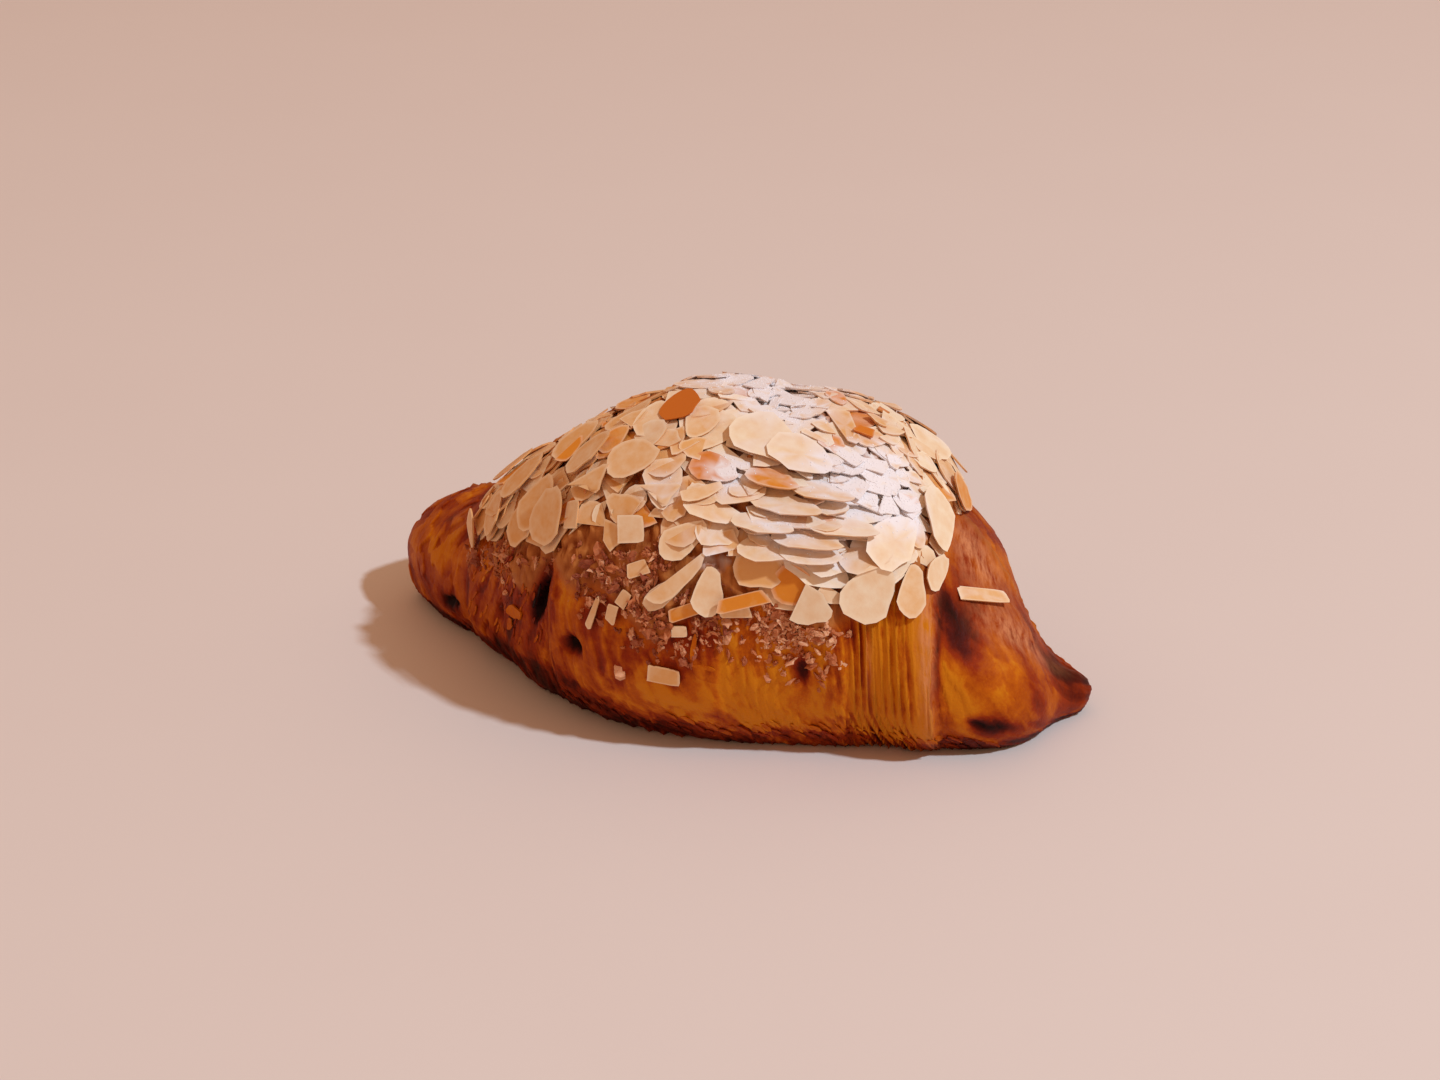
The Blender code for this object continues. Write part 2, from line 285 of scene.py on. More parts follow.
def build_dough():
    share = np.arange(1, RINGS + 1) / (RINGS + 1)
    places = TIP_CROWDING * -np.cos(np.pi * share) + (1 - TIP_CROWDING) * (2 * share - 1)
    angles = np.linspace(-np.pi, np.pi, ROUND, endpoint=False)
    angles = angles - ROUND_SHIFT * np.sin(angles)
    w = np.concatenate([[-1.0], np.repeat(places, ROUND), [1.0]])
    theta = np.concatenate([[0.0], np.tile(angles, RINGS), [0.0]])
    points = surface(w, theta, -pit_depth(w, theta))
    mesh = bpy.data.meshes.new("smooth_dough")
    mesh.from_pydata((points * MM).tolist(), [], net_faces(RINGS, ROUND))
    mesh.polygons.foreach_set("use_smooth", [True] * len(mesh.polygons))
    return mesh, w, theta, points


dough_mesh, dough_w, dough_theta, dough_points = build_dough()
dough_s = along(dough_w, dough_theta)
dough_girth = through(HALF_WIDTHS, np.arcsin(np.clip(dough_s, -1, 1)) * 2 / np.pi)
dough_along, dough_round = dough_w * HALF_LENGTH, dough_theta * (8 + 0.8 * dough_girth)
keep_value(dough_mesh, "crumb", crust_cover(dough_s, dough_theta, SOFT_EDGE))
print("dough points", len(dough_points))

# %% [markdown]
# ## Where the dough is layered
#
# The ends of the dough's layers run round the crescent, lean on the outer wraps and bend where they
# meet the tray. Each point stores where it lies across and along the layers and how strongly it is
# layered. The wrap right of the middle shows them as sharp ribs, the horns hardly at all.

# %% Masks for the layers
RIGHT_HORN, LEFT_HORN, LEFT_WRAP, RIBS = (0.69, 0.71), (-0.57, -0.61), (-0.18, -0.22), (0.4, 0.42)
LEAN_LEFT, LEAN_RIGHT, LEAN_HEM, HEM_START = 0.45, -0.12, -0.8, 112
SMOOTH_BAND = (0.665, 0.03)     # a narrow smooth band beside the ribs


def ripple(points, size, seed):
    """Soft random waves of about one size in millimetres, from -1 to 1."""
    draw = np.random.default_rng(seed)
    total = 0.0
    for _ in range(7):
        way = draw.normal(size=3)
        way *= draw.uniform(0.7, 1.4) * 2 * np.pi / size / np.linalg.norm(way)
        total = total + np.sin(points @ way + draw.uniform(0, 2 * np.pi))
    return np.clip(total / 3.2, -1, 1)


degrees_round = np.degrees(np.abs(dough_theta))
right_horn = smooth_step(*RIGHT_HORN, dough_w)
left_horn = smooth_step(*LEFT_HORN, dough_w)
left_wrap = smooth_step(*LEFT_WRAP, dough_w) * (1 - left_horn)
middle = 1 - np.clip(right_horn + left_horn + left_wrap, 0, 1)
ribbed = smooth_step(*RIBS, dough_w) * (1 - right_horn)
hem = smooth_step(HEM_START, HEM_START + 16, degrees_round)
bare = 1 - crust_cover(dough_s, dough_theta, SOFT_EDGE)
layered = 0.6 * middle + 0.65 * ribbed + 0.12 * right_horn + 0.3 * left_wrap + 0.08 * left_horn
layered *= 1 - 0.75 * np.exp(-(((dough_w - SMOOTH_BAND[0]) / SMOOTH_BAND[1]) ** 2))
layered = (layered + 0.6 * hem * (1 - 0.8 * ribbed)) * (0.3 + 0.7 * bare)
lean = LEAN_LEFT * left_wrap + LEAN_RIGHT * right_horn
sway = 1.6 * ripple(dough_points, 40, 8) + 0.5 * ripple(dough_points, 14, 9)
across = dough_along + lean * dough_round * np.sign(dough_theta) + sway * (1 - 0.8 * ribbed)
across += LEAN_HEM * np.maximum(degrees_round - HEM_START, 0) * 0.55 * (1 - 0.6 * ribbed)
keep_value(dough_mesh, "ribbed", ribbed)
keep_value(dough_mesh, "torn", (1 - 0.8 * ribbed) * (1 - 0.5 * right_horn) * bare)
keep_value(dough_mesh, "layered", layered)
keep_value(dough_mesh, "leaf_mm", np.stack([across, dough_round, 0 * across], -1), "FLOAT_VECTOR")
print("strength of the layers up to", round(float(layered.max()), 2))

# %% [markdown]
# ## How brown the dough is
#
# Browning is uneven: high and exposed places darken first, and the flanks of the middle wraps stay
# golden. Soft random patches give the unevenness, and a short list of soft spots the places that
# stand out. Positive spots are darker and negative ones paler. Some spots are painted light: painted
# shade in holes and wrap creases, and a painted highlight on one lit lip. The hem above the tray and
# the splits and holes are darkened as painted shade too.

# %% Browning, painted shade and painted sheen
BROWNING_AND_LIGHT_SPOTS = (
    # wrap place, angle, half size along and round in mm, browner by
    (0.79, 56, 4.0, 10.0, 0.75),
    (0.75, 52, 2.2, 5.0, 0.4),
    (0.86, 38, 4.0, 7.0, 0.3),
    # painted shade: a dark line in the crease of a wrap step
    (0.726, 74, 1.0, 13.0, 0.6),
    (0.8, 92, 4.0, 9.0, -0.5),
    # painted shade round a hole
    (0.845, 106, 3.6, 3.6, 1.0),
    (0.978, 40, 2.0, 7.0, 1.1),
    (0.94, 40, 2.2, 7.0, -0.35),
    (0.56, 98, 8.0, 22.0, -0.4),
    # painted highlight: a paler band on a lit wrap lip
    (0.685, 85, 2.0, 22.0, -0.25),
    (0.28, 110, 14.0, 11.0, -0.42),
    (0.02, 113, 7.0, 4.0, -0.3),
    # painted shade: a dark line in the crease of a wrap step
    (0.405, 96, 1.3, 20.0, 0.15),
    # painted shade in a hole
    (0.311, 98, 1.6, 3.0, 0.7),
    (0.43, 84, 1.6, 5.0, 0.5),
    # painted shade round a hole
    (-0.7, 106, 4.0, 5.0, 0.7),
    # painted shade: a dark line in the crease of a wrap step
    (-0.6, 84, 1.5, 24.0, 0.3),
    (-0.76, 72, 6.0, 12.0, -0.35),
    (-0.15, 84, 4.0, 7.0, -0.25),
    (0.06, 94, 5.0, 6.0, 0.25),
    # painted shade: a dark line in the crease of a wrap step
    (0.115, 108, 0.8, 16.0, 0.35),
)
PAINTED_SHEEN_SPOTS = (
    # the same, for a painted sheen: a painted highlight that lightens a few places
    (0.885, 39, 4.5, 7.0, 0.8),
    (0.8, 14, 6.0, 8.0, 0.9),
    (0.69, 78, 1.8, 22.0, 0.85),
    (0.5, 92, 1.0, 10.0, 0.4),
    (-0.74, 45, 4.0, 5.0, 0.25),
)
# where the hem above the tray starts to be darkened as painted shade
HEM_SHADE_PLACES = (-0.6, -0.45, -0.3, -0.17, -0.06, 0.03, 0.1, 0.7, 0.9)
HEM_SHADE_ANGLES = (118, 110, 112, 109, 114, 118, 120, 121, 118)     # where the dark hem starts


def spots_of(spots, w, theta):
    """Sum of soft spots at a wrap place and an angle."""
    total = 0.0
    for place, angle, long, tall, strength in spots:
        a = (w - place) * HALF_LENGTH / long
        b = (np.degrees(theta) - angle) * MM_PER_DEGREE / tall
        total = total + strength * np.exp(-(a**2 + b**2))
    return total


patches, blotches = ripple(dough_points, 26, 3), ripple(dough_points, 8, 4)
strips = ripple(np.stack([across, 0.12 * dough_round, 0 * across], -1), 6, 12)
brown = 0.3 + 0.14 * patches + 0.12 * blotches + 0.16 * strips * bare
brown += 0.36 * left_wrap + 0.24 * left_horn + 0.18 * right_horn
# painted shade: the hem above the tray is darkened from the angles listed above
under = degrees_round - np.interp(dough_w, HEM_SHADE_PLACES, HEM_SHADE_ANGLES)
brown += 0.5 * smooth_step(-1, 6, under) * smooth_step(165, 145, degrees_round)
brown += 0.35 * smooth_step(0.92, 1.0, dough_w) + 0.28 * smooth_step(0.25, -0.05, dough_w) * middle
# the splits and holes are darkened by their depth: painted shade
brown += spots_of(BROWNING_AND_LIGHT_SPOTS, dough_w, dough_theta) + 0.5 * pit_depth(dough_w, dough_theta)
keep_value(dough_mesh, "brown", np.clip(brown, -0.1, 1.8))
# painted highlight: a pale sheen on a few lit places
keep_value(dough_mesh, "haze", np.clip(spots_of(PAINTED_SHEEN_SPOTS, dough_w, dough_theta), 0, 1))
print("browning from", round(float(brown.min()), 2), "to", round(float(brown.max()), 2))

# %% [markdown]
# ## Making and running a geometry tree
#
# A tree gets named inputs for its sizes, and it ends by making its instances real and giving them
# their material. It is run as a modifier, whose inputs are set before the piece is first evaluated,
# and its result is kept as a plain mesh. A material is made empty here and filled in further down.

# %% New trees and their results
def new_paint(name):
    paint = bpy.data.materials.new(name)
    paint.use_nodes = True
    return paint


def new_tree(name, sizes):
    """An empty geometry tree with named number inputs, and the outputs of its group input."""
    tree = bpy.data.node_groups.new(name, "GeometryNodeTree")
    tree.interface.new_socket("Geometry", in_out="INPUT", socket_type="NodeSocketGeometry")
    tree.interface.new_socket("Geometry", in_out="OUTPUT", socket_type="NodeSocketGeometry")
    for label, value in sizes.items():
        kind = "NodeSocketInt" if isinstance(value, int) else "NodeSocketFloat"
        tree.interface.new_socket(label, in_out="INPUT", socket_type=kind)
    return tree, node(tree, "NodeGroupInput", out=None).outputs


def finish_tree(tree, placed, material):
    """Makes the instances real, gives them their material and ends the tree."""
    real = node(tree, "GeometryNodeRealizeInstances", (placed,))
    painted = node(tree, "GeometryNodeSetMaterial", {"Geometry": real, "Material": material})
    node(tree, "NodeGroupOutput", (painted,), out=None)
    return tree


def run_tree(piece, tree, sizes, name):
    """Runs the tree on a piece and returns the result as a plain mesh, with no modifier left."""
    modifier = piece.modifiers.new(tree.name, "NODES")
    modifier.node_group = tree
    for socket in tree.interface.items_tree:
        if socket.in_out == "INPUT" and socket.name in sizes:
            modifier[socket.identifier] = sizes[socket.name]
    solved = piece.evaluated_get(bpy.context.evaluated_depsgraph_get())
    mesh = bpy.data.meshes.new_from_object(solved)
    mesh.name = name
    piece.modifiers.remove(modifier)
    print(name, "triangles", sum(len(p.vertices) - 2 for p in mesh.polygons))
    return mesh


# %% [markdown]
# ## Layer ridges, torn leaves and crust crags
#
# The ends of the dough's layers are hundreds of fine ridges, too many to place by hand. Patterns
# stretched round the crescent raise them: a stepped wave gives the coarse layers and a finer streaked
# noise the leaves between them. A cell pattern gives the torn leaves of the skin. On the back a cell
# pattern with noise heaps up the crags of the almond crust.

# %% Heights of the layers and the crags
LAYER_SIZES = {
    "Coarse pitch mm": 2.1,
    "Coarse depth mm": 0.7,
    "Fine pitch mm": 1.0,
    "Fine depth mm": 0.4,
    "Leaf width mm": 2.4,
    "Leaf length mm": 4.5,
    "Leaf step mm": 0.5,
    "Crag size mm": 2.6,
    "Crag height mm": 1.7,
    "Seed": 11,
}
COARSE_RUN_MM, FINE_RUN_MM = 16.0, 15.0     # how far a ridge runs before its strength changes


def layer_height(add, size, x, y, steady):
    """Coarse stepped ridges across x and fine streaks between them, both running along y."""
    phase = add(MATH, (x, size["Coarse pitch mm"]), operation="DIVIDE")
    step = add(MATH, (add(MATH, (phase,), operation="FRACT"), 1.8), operation="POWER")
    layer = add(MATH, (add(MATH, (phase,), operation="FLOOR"), 7.3), operation="MULTIPLY")
    run = add(MATH, (y, COARSE_RUN_MM), operation="DIVIDE")
    place = add("ShaderNodeCombineXYZ", (layer, run, size["Seed"]))
    noise = add("ShaderNodeTexNoise", {"Vector": place, "Scale": 1.0, "Detail": 1.0}, out="Fac")
    strength = add(MATH, (add(MATH, (noise, 0.5), operation="SUBTRACT"), 3.6), operation="MULTIPLY")
    strength = add(MATH, (add(MATH, (strength, steady)), 0.0), operation="MAXIMUM")
    coarse = add(MATH, (add(MATH, (step, 0.4), operation="SUBTRACT"), strength), operation="MULTIPLY")
    coarse = add(MATH, (coarse, size["Coarse depth mm"]), operation="MULTIPLY")
    thread = add(MATH, (x, size["Fine pitch mm"]), operation="DIVIDE")
    place = add("ShaderNodeCombineXYZ", (thread, add(MATH, (y, FINE_RUN_MM), operation="DIVIDE"), 5.0))
    streaks = {"Vector": place, "Scale": 1.0, "Detail": 3.0, "Roughness": 0.6}
    fine = add(MATH, (add("ShaderNodeTexNoise", streaks, out="Fac"), 0.5), operation="SUBTRACT")
    depth = add(MATH, (size["Fine depth mm"], 2.0), operation="MULTIPLY")
    return add(MATH, (coarse, add(MATH, (fine, depth), operation="MULTIPLY")))


def leaf_height(add, size, x, y):
    """One random height for each torn leaf of the skin."""
    wide = add(MATH, (x, size["Leaf width mm"]), operation="DIVIDE")
    place = add("ShaderNodeCombineXYZ", (wide, add(MATH, (y, size["Leaf length mm"]), operation="DIVIDE")))
    cell = add("ShaderNodeTexVoronoi", {"Vector": place, "Scale": 1.0}, out="Color")
    lift = add(MATH, (add("ShaderNodeSeparateXYZ", (cell,)), 0.5), operation="SUBTRACT")
    return add(MATH, (lift, size["Leaf step mm"]), operation="MULTIPLY")


def crag_height(add, size):
    """Lumps of about the crag size, roughened by a noise."""
    spot = add(VECTOR_MATH, {0: add("GeometryNodeInputPosition"), 3: 1 / MM}, operation="SCALE")
    grain = add(MATH, (1.0, size["Crag size mm"]), operation="DIVIDE")
    grid = add(VECTOR_MATH, {0: spot, 3: grain}, operation="SCALE")
    lumps = add("ShaderNodeTexVoronoi", {"Vector": grid, "Scale": 1.0}, out="Distance", feature="F1")
    fine = add(VECTOR_MATH, {0: spot, 3: 0.75}, operation="SCALE")
    grit = {"Vector": fine, "Scale": 1.0, "Detail": 3.0, "Roughness": 0.65}
    rough = add(MATH, (add("ShaderNodeTexNoise", grit, out="Fac"), 0.5), operation="SUBTRACT")
    rough = add(MATH, (rough, 1.3), operation="MULTIPLY")
    crag = add(MATH, (add(MATH, (0.42, lumps), operation="SUBTRACT"), rough))
    return add(MATH, (crag, size["Crag height mm"]), operation="MULTIPLY")


print("layer and crag sizes", LAYER_SIZES)

# %% [markdown]
# ## The tree that raises the dough
#
# The tree weighs each height by its mask, moves the points along their normals, and stores ridges and
# crags so that the material can paint the low places darker and the high ones paler, as painted shade
# and light. Nothing may reach below the tray.

# %% Raise the layers and the crags
def layer_tree():
    tree, given = new_tree("raise_layers", LAYER_SIZES)
    add = partial(node, tree)
    names = ("layered", "ribbed", "torn", "crumb")
    layers, ribs, leaves, crust = (add(STORED, {"Name": name}, data_type="FLOAT") for name in names)
    leaf_mm = add(STORED, {"Name": "leaf_mm"}, data_type="FLOAT_VECTOR")
    x, y = add("ShaderNodeSeparateXYZ", (leaf_mm,), out=None).outputs[:2]
    steady = add(MATH, (add(MATH, (ribs, 0.5), operation="MULTIPLY"), 0.5))
    ridge = add(MATH, (layer_height(add, given, x, y, steady), layers), operation="MULTIPLY")
    ridge = add(MATH, (ridge, add(MATH, (leaf_height(add, given, x, y), leaves), operation="MULTIPLY")))
    crag = add(MATH, (crag_height(add, given), crust), operation="MULTIPLY")
    total = add(MATH, (add(MATH, (ridge, crag)), MM), operation="MULTIPLY")
    kept = given["Geometry"]
    for name, value in (("ridge", ridge), ("crag", crag)):
        inputs = {"Geometry": kept, "Name": name, "Value": value}
        kept = add("GeometryNodeStoreNamedAttribute", inputs, data_type="FLOAT")
    shift = add(VECTOR_MATH, {0: add("GeometryNodeInputNormal"), 3: total}, operation="SCALE")
    moved = add("GeometryNodeSetPosition", {"Geometry": kept, "Offset": shift})
    return finish_tree(tree, moved, dough_paint)


dough_paint = new_paint("egg_washed_dough")
smooth_dough = new_piece("smooth_dough", dough_mesh)
layered_mesh = run_tree(smooth_dough, layer_tree(), LAYER_SIZES, "croissant_dough")
bpy.data.objects.remove(smooth_dough)
places = values_of(layered_mesh.vertices, "co")
places[:, 2] = np.maximum(places[:, 2], 0.0)
layered_mesh.vertices.foreach_set("co", places.ravel())
layered_mesh.update()
dough = new_piece("croissant_dough", layered_mesh)

# %% [markdown]
# ## A net that the almonds settle on
#
# Flaked almonds fall anywhere and settle on whatever lies below them. A physics run would do it, but
# slowly. Here a net of points over the crust keeps the height reached so far. Each flake takes the
# best flat seat over the points under it, rides over the highest of them, and raises the net in turn,
# so that the flakes overlap like shingles and never float.

# %% The net and the seat of one flake
SLICE_THICK, TILT_LIMIT = 0.38, 0.45
COVER_ALONG, COVER_ROUND, COVER_STEPS = (-0.8, 0.9), 125.0, (190, 150)
BEYOND_NET = math.inf     # past the net's edge nothing is laid


def unit(way):
    return way / np.linalg.norm(way)


class Cover:
    """The crust's surface as a fine net of points that rises as flakes are laid on it."""

    def __init__(self):
        w = np.linspace(*COVER_ALONG, COVER_STEPS[0])
        theta = np.radians(np.linspace(-COVER_ROUND, COVER_ROUND, COVER_STEPS[1]))
        w, theta = np.meshgrid(w, theta, indexing="ij")
        base = surface(w, theta)
        normal = np.cross(np.gradient(base, axis=1), np.gradient(base, axis=0))
        normal /= np.linalg.norm(normal, axis=-1, keepdims=True)
        self.base, self.normal = base.reshape(-1, 3), normal.reshape(-1, 3)
        self.height = np.zeros(len(self.base))

    def pile(self, place, reach=4.0):
        """How high the flakes already lie round a place, within a reach in millimetres."""
        near = ((self.base - place) ** 2).sum(1) < reach**2
        return self.height[near].mean() if near.any() else BEYOND_NET

    def lay(self, place, long, slim, turn, rest, sink):
        """Seat of one flake: its origin and its three axes, resting on what lies below it."""
        gap = ((self.base - place) ** 2).sum(1)
        up = unit(self.normal[gap < (0.7 * long) ** 2].mean(0))
        level = unit(np.cross(np.cross(up, [1.0, 0.0, 0.0]), up))
        first = math.cos(turn) * level + math.sin(turn) * np.cross(up, level)
        second = np.cross(up, first)
        origin = self.base[np.argmin(gap)]
        top = self.base + self.normal * self.height[:, None] - origin
        a, b, c = top @ first, top @ second, top @ up
        facing = (np.abs(c) < 1.3 * long) & (self.normal @ up > 0.2)
        under = ((a / long) ** 2 + (b / slim) ** 2 < 1) & facing
        # the flat seat that fits best, lifted towards the highest point under the flake
        grid = np.stack([np.ones(under.sum()), a[under], b[under]], 1)
        plane = np.linalg.lstsq(grid, c[under], rcond=None)[0]
        plane[1:] = np.clip(plane[1:], -TILT_LIMIT, TILT_LIMIT)
        plane[0] += rest * (c[under] - grid @ plane).max() - sink
        risen = (grid @ plane + SLICE_THICK - c[under]) / (self.normal[under] @ up)
        self.height[under] += np.clip(risen, 0, 2.2 * SLICE_THICK)
        axis = unit(up - plane[1] * first - plane[2] * second)
        first = first + plane[1] * up
        first = unit(first - axis * (first @ axis))
        return origin + plane[0] * up, first, axis


flake_cover = Cover()
print("points in the net", len(flake_cover.base))

# %% [markdown]
# ## Where flakes fall
#
# A shaker spreads flakes evenly but without a pattern. Two steps that never line up give even places,
# and a seeded draw shifts them a little and picks size, turn and breaks. Fewer fall where the
# crescent is low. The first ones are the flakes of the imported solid.

# %% Seats for the flakes
FLAKE_COUNT, FLAKES_IN_SOLID = 500, 108
FLAKE_LONG, FLAKE_SLIM = (9.5, 15.5), (0.55, 0.85)
BROKEN_SHARE, SEED = 0.25, 41
SPREAD_ALONG, SPREAD_ROUND = (-0.64, 0.76), 86.0
EVEN_STEPS = (0.7548776662, 0.5698402910)     # powers of 1 / 1.32472, which spread places evenly


def flake_seats(count):
    """Place, angle, half sizes, turn and break of each flake that falls on the crust."""
    seats = []
    draw = np.random.default_rng(SEED)
    k = 0
    while len(seats) < count:
        k += 1
        share_along, share_round = ((0.5 + k * step) % 1 for step in EVEN_STEPS)
        w = SPREAD_ALONG[0] + (SPREAD_ALONG[1] - SPREAD_ALONG[0]) * share_along
        theta = math.radians(SPREAD_ROUND) * (2 * share_round - 1)
        w += draw.normal(0, 0.015)
        theta += draw.normal(0, 0.05)
        long = 0.5 * draw.uniform(*FLAKE_LONG)
        slim = long * draw.uniform(*FLAKE_SLIM)
        turn = draw.uniform(0, 2 * math.pi)
        chord = draw.uniform(-0.4, 0.2) if draw.random() < BROKEN_SHARE else -1.0
        girth = through(HEIGHTS, np.array([math.asin(max(-1, min(1, w))) * 2 / math.pi]))[0]
        if crust_cover(along(w, theta), theta) > 0.5 and draw.random() < girth / max(HEIGHTS):
            seats.append((w, theta, long, slim, turn, chord))
    return seats


seats = flake_seats(FLAKES_IN_SOLID + 4 * (FLAKE_COUNT - FLAKES_IN_SOLID))
print("seats drawn", len(seats))

# %% [markdown]
# ## Slices that stand out
#
# Some slices of the real croissant can be picked out, such as the toasted disc near the top and the
# small chips on the front. They get places of their own. A lean of 1 turns a slice level and a
# negative one turns it away from level.

# %% Slices seen one by one
FLAKES_SEEN = (
    # wrap place, angle, length, breadth, turn in degrees, shape number, toasting, lean towards level
    (-0.57, 22, 12.0, 7.0, 55, 0, 0.55, 0.0),
    (-0.57, 57, 10.0, 7.0, 50, 1, 0.4, 0.0),
    (-0.46, 54, 11.0, 8.0, 50, 2, 0.45, 0.0),
    (-0.4, 40, 14.0, 9.0, 50, 3, 0.5, 0.0),
    (-0.3, 26, 13.0, 7.5, 45, 0, 0.5, 0.0),
    (-0.3, 52, 14.0, 9.0, 55, 1, 0.5, 0.0),
    (-0.14, 48, 14.0, 8.0, 48, 6, 0.45, 0.0),
    (-0.215, 58, 13.5, 10.5, 70, 0, 0.42, 0.0),
    (-0.19, 34, 13.0, 9.0, 40, 2, 0.4, 0.0),
    (-0.29, 31, 8.0, 4.5, 60, 7, 1.0, 0.2),
    (-0.06, 62, 9.0, 7.0, 20, 5, 0.5, 0.0),
    (0.01, 47, 12.0, 7.0, 30, 6, 0.4, 0.0),
    (-0.05, 36, 13.0, 9.5, 20, 3, 0.4, 0.0),
    (0.09, 44, 12.0, 6.0, 25, 8, 0.35, 0.1),
    (-0.014, 58.5, 8.2, 9.4, 8, 10, 0.25, 0.0),
    (0.0, 70, 7.0, 5.0, 20, 11, 0.45, 0.0),
    (-0.02, 79, 5.5, 4.0, 60, 10, 0.35, 0.0),
    (-0.034, 85, 6.5, 4.0, 70, 11, 0.3, 0.0),
    (-0.068, 86, 8.0, 3.5, 72, 9, 0.35, 0.0),
    (0.063, 88, 4.6, 4.2, 0, 10, 0.3, 0.0),
    (0.032, 101, 10.0, 6.6, -6, 10, 0.5, 0.0),
    (0.05, 76, 12.0, 4.4, 42, 0, 0.3, 0.0),
    (0.076, 81, 9.0, 5.0, 18, 11, 0.95, 0.0),
    (0.167, 79.5, 9.0, 6.0, 0, 11, 0.4, 0.0),
    (0.065, 71, 16.0, 5.6, 46, 7, 0.32, 0.0),
    (0.114, 75, 11.5, 6.4, 84, 1, 0.25, 0.0),
    (0.189, 76, 15.5, 5.0, 14, 11, 0.98, 0.15),
    (0.329, 77, 11.0, 9.0, -20, 4, 0.12, 0.0),
    (0.24, 24, 17.0, 12.0, -20, 1, 0.12, 0.0),
    (0.33, 30, 15.0, 10.0, -15, 2, 0.15, 0.15),
    (0.27, 62, 15.0, 7.0, 4, 1, 0.25, 0.6),
    (0.355, 62, 14.0, 7.0, -4, 3, 0.2, 0.6),
    (0.34, 58, 16.0, 7.0, -8, 0, 0.3, 0.7),
    (0.24, 55, 14.0, 6.0, -10, 2, 0.2, 0.7),
    (0.41, 53, 16.0, 7.0, -6, 0, 0.15, 0.7),
    (0.31, 48, 16.0, 7.0, -10, 2, 0.2, 0.72),
    (0.38, 42, 14.0, 6.0, -8, 1, 0.3, 0.7),
    (0.27, 40, 13.0, 6.0, -12, 3, 0.9, 0.6),
    (0.57, 50, 14.0, 10.0, 60, 2, 0.15, 0.0),
    (0.73, -4, 14.0, 9.0, 80, 0, 0.85, 0.0),
    (0.69, 26, 15.0, 11.0, -52, 1, 0.12, 0.0),
    (0.506, 70, 13.6, 11.6, 65, 0, 0.14, 0.0),
    (0.641, 60, 11.5, 6.0, 95, 1, 0.35, 0.0),
    (0.7, 45, 11.0, 6.5, 72, 0, 0.2, 0.0),
    (0.832, 30.5, 20.0, 5.6, 44, 10, 0.45, 0.25),
    (-0.008, 12, 10.0, 9.6, 90, 2, 1.7, -0.7),
    (0.488, 12.5, 6.0, 5.0, 0, 11, 1.3, 0.0),
)
print("slices with places of their own", len(FLAKES_SEEN))

# %% [markdown]
# ## Laying all the flakes
#
# Each further flake takes the lowest of three seats, which fills gaps as real flakes do when they
# slide. On the right front flank they lean out level like roof tiles, and on the left wraps they
# follow the dough's roll. Below a line along the front no flake has stuck.

# %% Lay the flakes
FLAKE_SINK, SEEN_SINK, REST_SHARE, SHAKE = 0.1, -0.25, 0.35, 0.05
EDGE_PLACES = (-0.66, -0.57, -0.47, -0.22, 0.0, 0.05, 0.1, 0.2, 0.28, 0.35, 0.5, 0.62, 0.7, 0.76)
EDGE_ANGLES = (30, 56, 58, 61, 57, 58, 63, 64, 73, 76, 72, 62, 50, 30)
WHOLE, BROKEN, ANY_BROKEN = (0, 4), (4, 7), (4, 15)     # spans of shape numbers
WHOLE_SHARE, TOASTED_SHARE = 0.35, 0.06


def lift_of(w, theta, draw):
    """How far a flake leans from the surface towards level: most on the right front flank."""
    flank = math.exp(-(((w - 0.33) / 0.2) ** 2) - ((math.degrees(theta) - 48) / 24) ** 2)
    return float(np.clip(0.72 * flank + draw.normal(0.04, 0.06), -0.1, 0.8))


def lay_flakes(cover, seats):
    """Lays the solid's flakes, then more in the lowest of three places each, then the seen ones."""
    draw = np.random.default_rng(7)
    laid = []

    def lay(w, theta, long, slim, turn, shape, toast, lift, shake=SHAKE, rest=REST_SHARE, sink=FLAKE_SINK):
        origin, first, axis = cover.lay(surface(w, theta), long, slim, turn, rest, sink)
        level = np.array([0, 0, 1.0]) if lift >= 0 else 2 * axis - [0, 0, 1.0]
        axis = unit(axis * (1 - abs(lift)) + level * abs(lift) + draw.normal(0, shake, 3))
        first = unit(first - axis * (first @ axis))
        origin = origin + axis * 0.6 * abs(lift)
        laid.append((origin, (first, np.cross(axis, first), axis), long, slim, shape, toast))

    while len(laid) < FLAKE_COUNT and len(seats) > 3:
        extra = len(laid) >= FLAKES_IN_SOLID
        near = [seats.pop(0) for _ in range(3 if extra else 1)]
        near = [s for s in near if math.degrees(s[1]) < np.interp(s[0], EDGE_PLACES, EDGE_ANGLES)]
        if not near:
            continue
        piles = [cover.pile(surface(*s[:2])) for s in near]
        w, theta, long, slim, turn, chord = near[int(np.argmin(piles))]
        lift = lift_of(w, theta, draw)
        if lift > 0.2:
            turn = draw.normal(-0.12, 0.28)
            lift *= smooth_step(70, 60, math.degrees(theta))
        elif w < -0.1 and theta > 0.2:
            turn = draw.normal(0.9, 0.4)
        if extra:
            shape = draw.integers(*(WHOLE if draw.random() < WHOLE_SHARE else ANY_BROKEN))
        else:
            shape = draw.integers(*(WHOLE if chord <= -1 else BROKEN))
        toast = float(np.interp(w, (-0.3, 0.2), (0.48, 0.18)) + draw.normal(0, 0.17))
        if draw.random() < TOASTED_SHARE:
            toast = draw.uniform(0.7, 1.2)
        scale = draw.uniform(0.5, 1.0) if extra else 1.0
        lay(w, theta, long * scale, slim * scale, turn, shape, toast, lift)
    for w, angle, long, slim, turn, *looks in FLAKES_SEEN:
        lay(w, math.radians(angle), long / 2, slim / 2, math.radians(turn), *looks, 0.0, 1.0, SEEN_SINK)
    return laid


